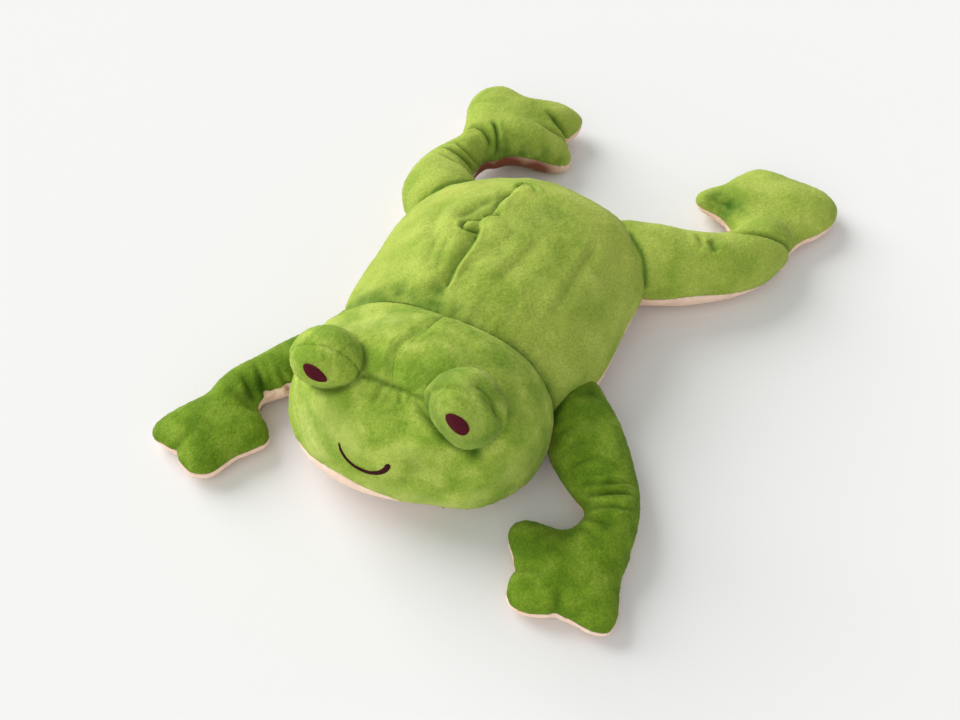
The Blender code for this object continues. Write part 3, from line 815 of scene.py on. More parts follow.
@dataclass(frozen=True)
class Satin:
    """A stitched thread: dark, with a soft gloss and fine strands."""

    name: str
    colour: Triple
    glint: Triple
    roughness: float = 0.6
    specular: float = 0.12
    strand_wide: float = 0.5
    strand_high: float = 0.2

    def material(self) -> bpy.types.Material:
        """Build the node material once, and reuse it.

        Returns:
            The material: a fine noise chooses between the colour and the glint, and raises
            the strands.
        """
        known = bpy.data.materials.get(self.name)
        if known is not None:
            return known
        made = bpy.data.materials.new(self.name)
        nodes = Nodes(made)
        strands = nodes.noise(self.strand_wide, detail=2.0)
        colours = nodes.ramp(strands, ((0.35, self.colour), (0.8, self.glint)))
        nodes.dress(colours, strands, 0.5, self.strand_high, {
            "Roughness": self.roughness, "Specular IOR Level": self.specular})
        return made


BACK_PLUSH = Plush(
    "back_plush", colour=(0.322, 0.418, 0.060), lit=(0.378, 0.470, 0.078),
    shaded=(0.255, 0.360, 0.042), painted_shade_colour=(0.050, 0.135, 0.008), painted_light=(0.500, 0.545, 0.095),
    patch=0.15, patch_cell=22.0, grain=0.18, sheen=0.13, sheen_tint=(0.95, 0.95, 0.45), bump=0.65)
FACE_PLUSH = Plush(
    "face_plush", colour=(0.282, 0.400, 0.046), lit=(0.385, 0.488, 0.080),
    shaded=(0.205, 0.332, 0.028), painted_shade_colour=(0.048, 0.128, 0.007), painted_light=(0.520, 0.600, 0.150),
    patch=0.14, patch_cell=16.0, grain=0.16, sheen=0.13, sheen_tint=(0.95, 0.95, 0.45), bump=0.65)
ARM_PLUSH = Plush(
    "arm_plush", colour=(0.136, 0.234, 0.011), lit=(0.184, 0.288, 0.022),
    shaded=(0.096, 0.186, 0.006), painted_shade_colour=(0.022, 0.066, 0.002), painted_light=(0.230, 0.330, 0.060),
    patch=0.14, patch_cell=13.0, grain=0.22, sheen=0.07, sheen_tint=(0.85, 0.95, 0.35), bump=0.65)
PINK_VELOUR = Plush(
    "pink_velour", colour=(0.900, 0.665, 0.520), lit=(0.920, 0.710, 0.575),
    shaded=(0.845, 0.595, 0.450), painted_shade_colour=(0.215, 0.062, 0.032), painted_light=(0.930, 0.730, 0.600),
    patch=0.2, patch_cell=14.0, grain=0.06, sheen=0.10, sheen_tint=(1.0, 0.9, 0.80), bump=0.3)
MAROON_SATIN = Satin("maroon_satin", colour=(0.062, 0.002, 0.007), glint=(0.100, 0.005, 0.014))
MOUTH_SATIN = Satin("mouth_satin", colour=(0.030, 0.002, 0.003), glint=(0.055, 0.005, 0.006))


@dataclass(frozen=True)
class Piece:
    """One finished piece of cloth or thread, and what it stands for."""

    name: str
    skin: Skin
    finish: Plush | Satin
    slot: Slot
    nodes: tuple[str, ...]
    fill: float = 0.8
    shell: bool = True

    def make(self) -> bpy.types.Object:
        """Make the object: cloth gets its thickness inwards, thread is solid.

        Returns:
            The object, at the origin with its place in its mesh.
        """
        thing = bpy.data.objects.new(self.name, to_mesh(self.name, self.skin))
        bpy.context.scene.collection.objects.link(thing)
        # Shade and light painted on the skin go to the material as a point attribute
        painted_shading = thing.data.attributes.new("painted_shading", "FLOAT", "POINT")
        painted_shading.data.foreach_set("value", np.clip(self.skin.painted_shading, -1.0, 1.0).astype(np.float32))
        thing.data.materials.append(self.finish.material())
        if self.shell:
            cloth = thing.modifiers.new("cloth", "SOLIDIFY")
            cloth.thickness = CLOTH * MM
            cloth.offset = -1.0
        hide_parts(*self.nodes)
        LOG.info("%s: %d faces, stands for %s", self.name, len(self.skin.faces), ", ".join(self.nodes))
        return thing

    def ride(self, body: str) -> bpy.types.Object:
        """Make the object and let it move with one body."""
        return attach(self.make(), body)

    def bend(self, first: str, second: str, start: Array, end: Array) -> bpy.types.Object:
        """Make the object and bake its place into its mesh."""
        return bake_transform(self.make())


@dataclass(frozen=True)
class Torso:
    """The body: an oval section that swells along Y, pink under its side seam."""

    seam_z: float = 22.0
    right_share: float = 0.945
    # y, half width, height over the seam, depth under it
    stations: tuple[tuple[float, float, float, float], ...] = (
        (-88, 64, 48.5, 17.8), (-70, 68, 52.6, 21), (-45, 75.5, 57, 22),
        (-15, 80, 58.2, 22), (16, 79.4, 57.6, 22), (41, 76, 53.8, 22),
        (57, 67.8, 46.8, 20.4), (68.2, 56.6, 37.6, 16.8), (75.5, 40.6, 25.4, 11.6),
        (79, 20.6, 12, 5.6),
    )
    rump: tuple[float, float, float, float] = (80.2, 8.0, 5.0, 2.6)
    # Where the back's middle seam runs: y and x
    spine: tuple[tuple[float, float], ...] = (
        (-90, 0), (-72, -3.6), (-65, -6), (-56, -7.4), (-47, -8.1), (-36, -8.8),
        (-27, -8.5), (-20, -8.3), (-13, -8.6), (-7, -10), (0, -12), (5, -10.8),
        (9, -8), (14, -8.4), (19, -9.4), (27, -9.2), (32, -8), (39, -7),
        (60, -3), (80, 0),
    )
    creases: tuple[Crease, ...] = (
        # The middle seam sinks as it nears the hook where it was closed by hand
        Crease(((-7.7, -58, 75.8), (-8.1, -47.8, 77.5), (-9, -36.4, 78), (-8.5, -27.8, 78.3),
                (-8.2, -20.4, 78.6), (-8.5, -13.1, 78.7), (-9.6, -7.5, 78.8), (-10.9, -4, 79)),
               3.2, 1.5, 0.9, 0.85, slack=3, fade=0.15),
        # The hook's tongue, under and over it
        Crease(((-9.6, -5.6, 78.8), (-13.2, -8.4, 78.6), (-16.5, -9.4, 78.4), (-19.4, -8, 78.3),
                (-20.2, -5, 78.6), (-18.6, -1.8, 79)), 2.4, 1.2, 0.5, 0.9, fade=0.1),
        Crease(((-19.3, -2.8, 78.8), (-16.6, -1, 79.6), (-13.6, 0.4, 79.8), (-11.4, 3.4, 79.4)),
               2, 1.2, 0.3, 0.8, slack=1.5, fade=0.15),
        # From the hook to the right, and up to the rump
        Crease(((-12.4, 2, 79.4), (-9.6, 6.6, 79.2), (-5.6, 7.8, 79.8), (-1.4, 9.8, 79.8)),
               2, 1.5, 0.7, 0.75, slack=1.6, fade=0.25),
        Crease(((-8.6, 7, 79.2), (-8.4, 13.8, 79.4), (-9.5, 18.5, 78.6), (-9.4, 26.7, 77.4),
                (-7.8, 31.9, 76.6), (-7.2, 40, 74.6)), 2.6, 1.9, 0.7, 0.8, slack=2, fade=0.25),
        Crease(((-22.4, -4.6, 77.8), (-22.6, 2, 77.8), (-20.2, 9, 78), (-16.4, 17, 78.2),
                (-13, 26, 77.4)), 1.7, 3.2, 0.4, 0.5, slack=1.5),
        Crease(((-7.2, 36.5, 75.6), (-5.9, 43, 73.6), (-1.9, 45.8, 73), (2.7, 43.8, 74),
                (7.6, 37.6, 75.6)), 1.5, 1.4, 1, 0.5),
        # Soft slack folds on the right of the seam
        Crease(((-41.7, 11.1, 70.3), (-37.9, -6.7, 73.4), (-32.2, -23.1, 74.3)), 1.3, 3.4, 0.5, 0.1),
        Crease(((-23.3, -16.7, 77.1), (-20.9, -31.7, 77.3), (-16.6, -46.5, 77)), 1.5, 3, 0.6, 0.16),
        Crease(((-31, -8, 75.5), (-28.5, -27, 76), (-24, -46, 75.4)), 1.2, 2.6, 0.5, 0.1),
        # Long drags from the neck to the rump
        Crease(((51.5, 28.2, 65.4), (50.5, 7.4, 66), (50.5, -17.7, 66.9), (47.5, -49.7, 64.8)),
               1, 2.4, 0.5, 0.16, slack=1.6),
        Crease(((25.6, 8.8, 77.4), (22.7, -10.4, 78.1), (18.7, -28.5, 77.3), (15.7, -45.7, 78.1)),
               0.9, 2.8, 0.45, 0.12, slack=1.6),
        Crease(((13, 4, 79.4), (6, -14, 79.6), (0, -32, 78.6), (-3, -48, 77.4)),
               0.6, 2.8, 0.3, 0.1, slack=1.4),
    )
    swells: tuple[Swell, ...] = rises(
        # Shade painted on the cloth beside the neck seam and on the right of the hook
        (-33, -61, 67.8, 7, -1.3, 0.8), (-11, -56, 75.4, 6, -1.7, 0.85), (-9, -63.5, 74.4, 7.5, -0.8, 0.8),
        (-23, -63, 71.8, 6.5, -0.7, 0.65), (2.5, -64.5, 75.5, 7, -0.5, 0.65), (-42, -63, 62, 6, -0.4, 0.45),
        (-33, -69, 65.5, 6.5, 0, 0.65), (14, -62.5, 74.6, 6, -0.3, 0.45), (19, 27, 75.9, 8, -0.3, 0.45),
        (16.4, 13.4, 78.4, 7.5, -0.2, 0.36), (13.2, -2.4, 79.6, 7.5, -0.2, 0.28),
        (7, -16, 79.4, 7, -0.2, 0.18), (-10, 27, 77.4, 4.5, -0.6, 0.55), (-17.5, 6, 78, 5, -1.2, 0.55),
        # Soft fullness round the hook
        (-22.5, -55, 73.5, 6, 1), (8, -54, 77, 7, 0.8), (-15.2, -4.8, 79.4, 2.2, 0.9),
        (-28.5, 0, 76.2, 7, 1.8), (-24.5, -15, 77, 8, 1.2), (-26, 18, 76, 9, 1.2), (-3, -1, 80, 6, 1.5),
        (-2.5, 17, 79.8, 6, 1.6), (0, 37, 76, 5.5, 1.8),
        # Where the body is fuller or flatter than the plain form
        (-30, 52, 62, 30, -3.6), (76, -35, 14, 18, 3), (52, 54, 42, 24, 3.6), (77, 34, 34, 20, 2.8),
        (-74, -62, 34, 24, 5.8), (-72, -36, 40, 18, 1.2), (-70, 17, 47, 22, 1.8), (-44, -72, 60, 18, 3.4),
    )
    # Light painted on the cloth along the right side, over the rump and beside the hook, which makes the pile
    # paler
    painted_light: tuple[Swell, ...] = rises(
        (-62, -44, 58, 12, 0, -0.45), (-64, -20, 58, 13, 0, -0.4), (-58, 8, 62, 13, 0, -0.45),
        (-46, 30, 66, 13, 0, -0.55), (-26, 44, 68, 12, 0, -0.5), (0, 34, 77, 7, 0, -0.35),
        (44, 44, 62, 13, 0, -0.4), (62, 30, 56, 12, 0, -0.3), (14, 52, 66, 10, 0, -0.35),
    )
    side_seam: SewnSeam = SewnSeam(depth=0.8, width=1.3, pucker=0.3)
    spine_seam: SewnSeam = SewnSeam(depth=0.6, width=1.1, pucker=0.35, shade=0.35)
    neck_sink: float = 1.5
    neck_width: float = 4.2
    gathers: float = 38.0
    gather_high: float = 0.35
    gather_long: float = 6.0

    def rows(self) -> Array:
        """The stations as one smooth run of rows."""
        return flow(np.array(self.stations), 140)

    def shell(self) -> Skin:
        """Set half ellipses over and under the side seam at every row.

        Returns:
            The closed form, with a small last row at the rump.
        """
        rows = np.vstack([self.rows(), self.rump])
        angle = np.linspace(0.0, 2.0 * np.pi, 120, endpoint=False)
        rise = np.where(np.sin(angle) > 0.0, rows[:, 2:3], rows[:, 3:4]) * np.sin(angle)
        wide = np.cos(angle) * np.where(np.cos(angle) < 0.0, self.right_share, 1.0)
        grid = np.stack([rows[:, 1:2] * wide, np.broadcast_to(rows[:, 0:1], rise.shape),
                         self.seam_z + rise], axis=-1)
        return grid_skin(grid)

    def level(self, points: Array) -> Array:
        """Measure roughly how far points lie outside the body, from their section's ellipse.

        Args:
            points: Places (n, 3).

        Returns:
            Distances (n,), below 0 inside.
        """
        rows = self.rows()
        wide, tall, deep = (np.interp(points[:, 1], rows[:, 0], rows[:, column]) for column in (1, 2, 3))
        z = points[:, 2] - self.seam_z
        high = np.where(z > 0.0, tall, deep)
        wide = wide * np.where(points[:, 0] < 0.0, self.right_share, 1.0)
        ratio = np.hypot(points[:, 0] / wide, z / high)
        slope = np.hypot(points[:, 0] / wide ** 2, z / high ** 2) / np.maximum(ratio, 1e-6)
        side = (ratio - 1.0) / np.maximum(slope, 1e-6)
        return np.maximum(side, points[:, 1] - rows[-1, 0])

    def build(self, head: Head) -> None:
        """Shape the body, open its neck round the head and cut it into its three panels.

        Args:
            head: The head, whose dome the neck fits.
        """
        skin = stuffed([self.shell()], coarse_rounds=5, fine_rounds=5)
        amount = np.zeros(len(skin.points))
        normals = skin.normals()
        # The middle seam is faint in front of the hook and over the rump
        over = skin.points[:, 2] > self.seam_z
        self.side_seam.press(skin, skin.points[:, 2] - self.seam_z, amount, seed=11)
        y = skin.points[:, 1]
        show = over * (0.15 + 0.85 * smooth((y + 50.0) / 20.0) * smooth((60.0 - y) / 20.0))
        self.spine_seam.press(skin, beside(skin.points, self.spine), amount, seed=21, strength=show)
        for mark in (*self.creases, *self.swells):
            mark.press(skin, normals, amount)
        outside = head.level(skin.points)
        self.neck_pull(skin, outside, amount)
        for mark in self.painted_light:
            mark.press(skin, normals, amount)
        PLUSH_NAP.press(skin, amount, seed=31)
        skin.push(amount).rest_on_floor()
        skin, _ = skin.cut(head.level(skin.points) - NECK_GAP)
        top, under = skin.cut(skin.points[:, 2] - self.seam_z)
        left, right = top.cut(beside(top.points, self.spine))
        Piece("back_cloth_left", left, BACK_PLUSH, Slot.GREEN, ("back_panel_left",)).ride("torso")
        Piece("back_cloth_right", right, BACK_PLUSH, Slot.GREEN, ("back_panel_right",)).ride("torso")
        Piece("belly_cloth", under, PINK_VELOUR, Slot.PINK, ("belly_panel", "body_stuffing")).ride("torso")

    def neck_pull(self, skin: Skin, outside: Array, amount: Array) -> None:
        """Round the back over towards the neck seam, with small gathers that fan from it and shade painted
        beside it.

        It sinks by neck_sink x e^-(d / neck_width)^1.4 at a distance d from the head, and the
        gathers are waves by the turn round the head, set off by noise.

        Args:
            skin: The body's skin.
            outside: Each point's distance outside the head.
            amount: The outward amounts so far, changed in place.
        """
        turn = np.arctan2(skin.points[:, 2] - 25.0, skin.points[:, 0])
        gather = np.sin(self.gathers * turn + 3.0 * ripple(skin.points, cell=14.0, seed=41))
        near = np.exp(-np.maximum(outside, 0.0) / self.gather_long)
        amount -= self.neck_sink * np.exp(-(np.maximum(outside, 0.0) / self.neck_width) ** 1.4)
        amount += self.gather_high * gather * near
        # Shade painted beside the neck seam, patchy, and reaching further on the frog's right
        patchy = np.clip(0.5 + 0.9 * ripple(skin.points, cell=7.0, seed=43), 0.0, 1.0)
        reach = 3.0 + 5.0 * patchy * smooth((30.0 - skin.points[:, 0]) / 30.0)
        painted_shade = (0.45 + 0.3 * patchy) * np.exp(-(np.maximum(outside, 0.0) / reach) ** 2)
        skin.painted_shading[:] = np.maximum(skin.painted_shading, painted_shade)


@dataclass(frozen=True)
class Head:
    """The head: a dome that is round about the nodding axis behind and shallower in front."""

    axis_y: float = -108.0
    seam_z: float = 25.0
    half_width: float = 74.5
    radius: float = 62.0
    face_reach: float = 51.5
    swell: float = 2.5
    crown_y: float = -129.3
    spine: tuple[tuple[float, float], ...] = (
        (-135, 0.5), (-128.7, 0.5), (-122.4, -2.7), (-115.6, -5), (-104.9, -1.9), (-92.3, 0.2),
        (-76.7, 0.3), (-40, 0),
    )
    creases: tuple[Crease, ...] = (
        Crease(((-2.6, -125, 81.6), (-4.6, -131, 78.6), (-5.8, -135.7, 76.1), (-7.2, -140, 73.6)),
               1.3, 1.5, 0.8, 0.25),
        Crease(((3.6, -128, 80.6), (7, -132, 79.4), (8.2, -136.6, 76.6)), 0.9, 1.2, 0.5, 0.2),
        Crease(((12, -128.5, 81), (20.3, -134.8, 77.2), (29.1, -137.4, 73.9), (37.9, -139, 69.9),
                (47.3, -138, 65.6), (54.9, -133, 63.8)), 1.8, 2, 0.6, 0.6, slack=0.7),
        Crease(((-54, -131, 64.5), (-37.9, -138.5, 70.2), (-26.3, -137.3, 75), (-20.5, -131.1, 79.5)),
               1.5, 2, 0.6, 0.45),
        # Drags that lead from the right eye to the middle and up the crown
        Crease(((-20, -122, 80.5), (-15, -127.5, 80.5), (-8, -129, 81.2), (0, -129.2, 81.6),
                (8, -129.4, 81.6), (14, -128.8, 81.8)), 1.2, 1.6, 0.6, 0.55),
        Crease(((-4, -118, 84), (-6.5, -110, 85), (-5, -101, 85.8), (0, -92, 85.4)),
               0.7, 2.2, 0.5, 0.3),
    )
    swells: tuple[Swell, ...] = rises(
        # Rises and dents of the head, some dents with shade painted in them
        (30, -152, 53, 9, -0.8, 0.18), (17, -158, 41.8, 6, -0.6, 0.22), (-4, -148, 62, 14, 1),
        (-58, -140, 38, 26, -4.6), (-66, -112, 50, 20, -1.6), (50, -136, 38, 20, 2.4),
        (-2, -133, 78, 7, -0.9, 0.25), (34, -151, 6, 26, -7.5), (-34, -146, 66, 12, 3),
        (66, -132, 20, 26, -5), (-42, -90, 77, 18, -5), (50.5, -136.5, 62.5, 3.6, -2.2, 0.95),
        (26, -145, 67, 8, 2.4), (-22, -140, 68, 6, 0.9),
        # Shade painted on the cloth between the eyes and on the cheeks
        (14, -118, 84, 9, -0.3, 0.35), (30, -102, 83, 11, -0.2, 0.34), (54, -110, 71, 12, -0.2, 0.34),
        (-6, -121, 83, 5, -0.4, 0.45), (22, -152, 54, 8, 0, 0.34), (38, -153, 40, 9, 0, 0.24),
        (17.5, -157, 42, 6, -0.3, 0.36), (-20, -124, 78, 4.5, -0.6, 0.7), (44, -86, 77, 8, 0, 0.28),
        (6, -136, 76, 6, -0.2, 0.28),
    )
    # Light painted on the cloth of the cheeks, the chin and the crown, which makes the pile paler
    painted_light: tuple[Swell, ...] = rises(
        (-47, -149, 46, 10, 0, -0.6), (-36, -154, 36, 11, 0, -0.7), (-22, -150, 58, 9, 0, -0.55),
        (-12, -153, 54, 7, 0, -0.45), (-34, -142, 66, 8, 0, -0.4), (-37, -100, 81, 11, 0, -0.5),
        (-20, -92, 84, 8, 0, -0.4), (66, -130, 46, 8, 0, -0.45), (70, -116, 44, 8, 0, -0.35),
        (22, -158, 30, 10, 0, -0.5), (40, -154, 26, 11, 0, -0.5), (54, -146, 34, 9, 0, -0.4),
        (2, -159, 32, 9, 0, -0.4),
    )
    chin_seam: SewnSeam = SewnSeam(depth=0.6, width=1.2, pucker=0.25, shade=0.3)
    crown_seam: SewnSeam = SewnSeam(depth=1.0, width=1.4, pucker=0.7, pitch=4.0, shade=0.55)
    spine_seam: SewnSeam = SewnSeam(depth=0.45, width=1.7, pucker=0.7, pitch=5.0, shade=0.26)
    nap: Nap = Nap(sag=0.6, lump=0.45, lump_cell=8.0)
    # The groove round each eye, and the shade painted in it
    eye_sink: float = 1.0
    eye_width: float = 2.4
    eye_shade: float = 0.55
    # Behind this the head is hidden in the body, and keeps most of its plain form
    hidden_y: float = -72.0
    hidden_share: float = 0.3

    def shell(self) -> Skin:
        """Set four quarter ellipses about the nodding axis in every section.

        Across the head's width the sections' size falls as (1 - |x|^n)^(1/n), with the swell
        as n.

        Returns:
            The closed dome.
        """
        lean = np.radians(np.linspace(-88.0, 88.0, 110))
        place = np.sign(np.sin(lean)) * np.abs(np.sin(lean)) ** (2.0 / self.swell)
        girth = np.cos(lean) ** (2.0 / self.swell)
        turn = np.linspace(0.0, 2.0 * np.pi, 150, endpoint=False)
        reach = np.where(np.cos(turn) < 0.0, self.face_reach, self.radius) * np.cos(turn)
        rise = np.where(np.sin(turn) > 0.0, self.radius, self.seam_z + 0.5) * np.sin(turn)
        grid = np.stack([np.broadcast_to(place[:, None] * self.half_width, (110, 150)),
                         self.axis_y + girth[:, None] * reach,
                         self.seam_z + girth[:, None] * rise], axis=-1)
        return grid_skin(grid)

    def level(self, points: Array) -> Array:
        """Measure roughly how far points lie outside the dome.

        Behind the nodding axis the dome counts as round below too, so that the neck is cut
        round it.

        Args:
            points: Places (n, 3).

        Returns:
            Distances (n,), below 0 inside.
        """
        y, z = points[:, 1] - self.axis_y, points[:, 2] - self.seam_z
        size = np.hypot(y / np.where(y < 0.0, self.face_reach, self.radius),
                        z / np.where(z < 0.0, np.where(y < 0.0, self.seam_z + 0.5, self.radius), self.radius))
        across = np.abs(points[:, 0] / self.half_width)
        ratio = (across ** self.swell + size ** self.swell) ** (1.0 / self.swell)
        return (ratio - 1.0) * self.radius

    def seam_gap(self, points: Array) -> Array:
        """Measure each point's height over the chin seam, which runs low under the left cheek.

        Args:
            points: Places (n, 3).

        Returns:
            Heights (n,), below 0 under the seam.
        """
        x = points[:, 0]
        front = smooth((-90.0 - points[:, 1]) / 25.0)
        bend = 3.5 * np.exp(-((x + 20.0) / 20.0) ** 2) - 13.0 * smooth((x - 2.0) / 34.0)
        bend -= 5.0 * smooth((-46.0 - x) / 14.0)
        return points[:, 2] - (self.seam_z + front * bend)

    def build(self, eyes: tuple[Eye, ...]) -> Skin:
        """Shape the head and cut it into two crown panels, the face and the chin.

        Args:
            eyes: The eyes, round which the cloth is drawn in.

        Returns:
            The face's skin, which the mouth is stitched on.
        """
        skin = stuffed([self.shell()], coarse_rounds=4, fine_rounds=5)
        amount = np.zeros(len(skin.points))
        normals = skin.normals()
        x, y, z = skin.points.T
        shown = smooth((-58.0 - y) / 12.0)
        self.chin_seam.press(skin, self.seam_gap(skin.points), amount, seed=51, strength=shown)
        between = smooth((26.0 - np.abs(x)) / 8.0) * (z > 50.0)
        self.crown_seam.press(skin, y - self.crown_y, amount, seed=61, strength=between)
        behind = smooth((y - self.crown_y) / 3.0 + 0.5) * (z > 50.0) * shown
        self.spine_seam.press(skin, beside(skin.points, self.spine), amount, seed=71, strength=behind)
        for mark in (*self.creases, *self.swells):
            mark.press(skin, normals, amount)
        # The cloth sinks round each eye, with shade painted in the groove
        for eye in eyes:
            ring = np.exp(-(eye.gap(skin.points) / self.eye_width) ** 2)
            amount -= self.eye_sink * ring
            broken = np.clip(0.7 + 0.6 * ripple(skin.points, cell=3.5, seed=85), 0.0, 1.0)
            skin.painted_shading = np.maximum(skin.painted_shading, self.eye_shade * ring * broken)
        for mark in self.painted_light:
            mark.press(skin, normals, amount)
        self.nap.press(skin, amount, seed=81)
        skin.push(amount * np.where(y > self.hidden_y, self.hidden_share, 1.0)).rest_on_floor()
        top, chin = skin.cut(self.seam_gap(skin.points))
        crown, face = top.cut(top.points[:, 1] - self.crown_y)
        left, right = crown.cut(beside(crown.points, self.spine))
        for side, cloth in ((Side.LEFT, left), (Side.RIGHT, right)):
            Piece(f"crown_cloth_{side.value}", cloth, FACE_PLUSH, Slot.GREEN,
                  (f"crown_panel_{side.value}",)).ride("head")
        Piece("face_cloth", face, FACE_PLUSH, Slot.GREEN, ("face_panel", "head_stuffing")).ride("head")
        Piece("chin_cloth", chin, PINK_VELOUR, Slot.PINK, ("chin_panel",)).ride("head")
        return face


@dataclass(frozen=True)
class Eye:
    """One bulging eye: a ball that is flatter in front, with a cap seam and a satin pupil."""

    side: Side
    centre: Triple
    seam_ahead: float
    seam_turn: float
    pupil_turn_deg: float
    pupil_tilt_deg: float
    pupil_roll_deg: float
    halves: Triple = (20.7, 20.7, 20.7)
    flat: float = 0.10
    pupil_wide: float = 8.2
    pupil_tall: float = 6.2
    seam: SewnSeam = SewnSeam(depth=0.7, width=0.9, pucker=0.3, pitch=4.0, shade=0.5)
    creases: tuple[Crease, ...] = ()
    cap_lip: float = 0.3
    pupil_point: float = 2.0
    pressed: Triple = (0.0, 0.0, -1.0)
    pressed_share: float = 0.0
    # Shade painted evenly over the ball's cloth
    painted_shade_tone: float = 0.03
    nap: Nap = Nap(sag=0.4, sag_cell=14.0, lump=0.3, lump_cell=7.0)
    # The swelling of the cap behind its seam, and where it is
    lip_place: float = 3.2
    lip_width: float = 2.4
    # The pupil's height at its rim and over it, and its stitches
    rim_high: float = 0.35
    pupil_high: float = 0.75
    stitch: float = 0.62
    stitch_high: float = 0.10

    def facing(self) -> Array:
        """The direction that the pupil looks in."""
        turn, tilt = math.radians(self.pupil_turn_deg), math.radians(self.pupil_tilt_deg)
        return np.array([math.sin(turn) * math.cos(tilt), -math.cos(turn) * math.cos(tilt), math.sin(tilt)])

    def reach(self, way: Array) -> Array:
        """Work out the ball's radius in each direction.

        It is an ellipsoid's, less by flat x s^3, where s is how far the direction faces ahead,
        and less by pressed_share on the side where the face's cloth presses on the ball.

        Args:
            way: Unit directions (..., 3).

        Returns:
            Radii (...).
        """
        ahead = np.clip((way * self.facing()).sum(axis=-1), 0.0, 1.0)
        oval = 1.0 / np.linalg.norm(way / np.array(self.halves), axis=-1)
        side = smooth(((way * unit(np.array(self.pressed))).sum(axis=-1) - 0.45) / 0.55)
        return oval * (1.0 - self.flat * ahead ** 3) * (1.0 - self.pressed_share * side)

    def gap(self, points: Array) -> Array:
        """How far each point lies outside the ball."""
        line = points - np.array(self.centre)
        return np.linalg.norm(line, axis=1) - self.reach(unit(line))

    def shell(self) -> Skin:
        """Set out the ball by latitude and longitude.

        Returns:
            The closed ball.
        """
        high = np.radians(np.linspace(-87.0, 87.0, 60))[:, None]
        turn = np.linspace(0.0, 2.0 * np.pi, 90, endpoint=False)[None, :]
        way = np.stack([np.cos(high) * np.cos(turn), np.cos(high) * np.sin(turn),
                        np.broadcast_to(np.sin(high), (60, 90))], axis=-1)
        return grid_skin(np.array(self.centre) + way * self.reach(way)[:, :, None])

    def build(self, head: Head) -> None:
        """Shape the ball, cut it at its seam and where it sinks into the head.

        Shade is painted on the cloth where it nears the head, and evenly over all of it besides.

        Args:
            head: The head that it sits on.
        """
        word = self.side.value
        skin = stuffed([self.shell()], coarse_rounds=1, fine_rounds=3)
        amount = np.zeros(len(skin.points))
        x, y, _ = (skin.points - np.array(self.centre)).T
        gap = (y + self.seam_ahead - self.seam_turn * x) / math.hypot(1.0, self.seam_turn)
        outside = head.level(skin.points)
        self.seam.press(skin, gap, amount, seed=91)
        behind = np.exp(-((gap - self.lip_place) / self.lip_width) ** 2)
        amount += self.cap_lip * behind
        normals = skin.normals()
        for mark in self.creases:
            mark.press(skin, normals, amount)
        self.nap.press(skin, amount, seed=95)
        # Shade painted where the ball nears the head, and evenly besides
        skin.painted_shading = np.maximum(skin.painted_shading, 0.5 * np.exp(-(np.maximum(outside, 0.0) / 2.0) ** 2))
        painted_even_shade = self.painted_shade_tone * (1.0 + 0.5 * ripple(skin.points, cell=9.0, seed=97))
        skin.painted_shading = np.maximum(skin.painted_shading, painted_even_shade)
        skin.push(amount)
        skin, _ = skin.cut(head.level(skin.points) + HEAD_TUCK)
        x, y, _ = (skin.points - np.array(self.centre)).T
        cap, front = skin.cut(y + self.seam_ahead - self.seam_turn * x)
        Piece(f"eye_cap_cloth_{word}", cap, FACE_PLUSH, Slot.GREEN, (f"eye_cap_{word}",)).ride("head")
        Piece(f"eye_front_cloth_{word}", front, FACE_PLUSH, Slot.GREEN,
              (f"eye_front_{word}", f"eye_{word}_stuffing")).ride("head")
        Piece(f"pupil_stitching_{word}", self.pupil(), MAROON_SATIN, Slot.SATIN, (f"pupil_{word}",),
              fill=0.9, shell=False).ride("head")

    def pupil(self) -> Skin:
        """Set out the satin oval: a low pillow on the ball, ribbed by its stitches.

        Its outline is an oval, more pointed as pupil_point falls below 2.  At a share s of the
        way from its middle to its rim the face stands sqrt(1 - s^4) of its height over the rim,
        and each stitch is one wave across.

        Returns:
            The closed pillow, whose under side lies in the ball.
        """
        facing = self.facing()
        level = unit(np.cross(facing, np.array([0.0, 0.0, 1.0])))
        upward = np.cross(level, facing)
        roll = math.radians(self.pupil_roll_deg)
        wide = math.cos(roll) * level + math.sin(roll) * upward
        tall = -math.sin(roll) * level + math.cos(roll) * upward
        around = np.linspace(0.0, 2.0 * np.pi, 160, endpoint=False)[None, :]
        turn = np.radians(np.linspace(3.0, 150.0, 46))[:, None]
        share = np.sin(np.minimum(turn, math.pi / 2.0)) * np.where(turn > math.pi / 2.0, 1.0 - 0.05 * (
            turn - math.pi / 2.0), 1.0)
        power = 2.0 / self.pupil_point
        a = share * self.pupil_wide * np.sign(np.cos(around)) * np.abs(np.cos(around)) ** power
        b = share * self.pupil_tall * np.sign(np.sin(around)) * np.abs(np.sin(around)) ** power
        way = unit(facing + (a[..., None] * wide + b[..., None] * tall) / self.halves[1])
        over = turn < math.pi / 2.0
        lift = np.where(over, self.rim_high + self.pupil_high * np.sqrt(1.0 - share ** 4),
                        self.rim_high - 1.2 * (turn - math.pi / 2.0))
        ribs = self.stitch_high * np.sin(2.0 * np.pi * a / self.stitch) * over
        return grid_skin(np.array(self.centre) + way * (self.reach(way) + lift + ribs)[..., None])


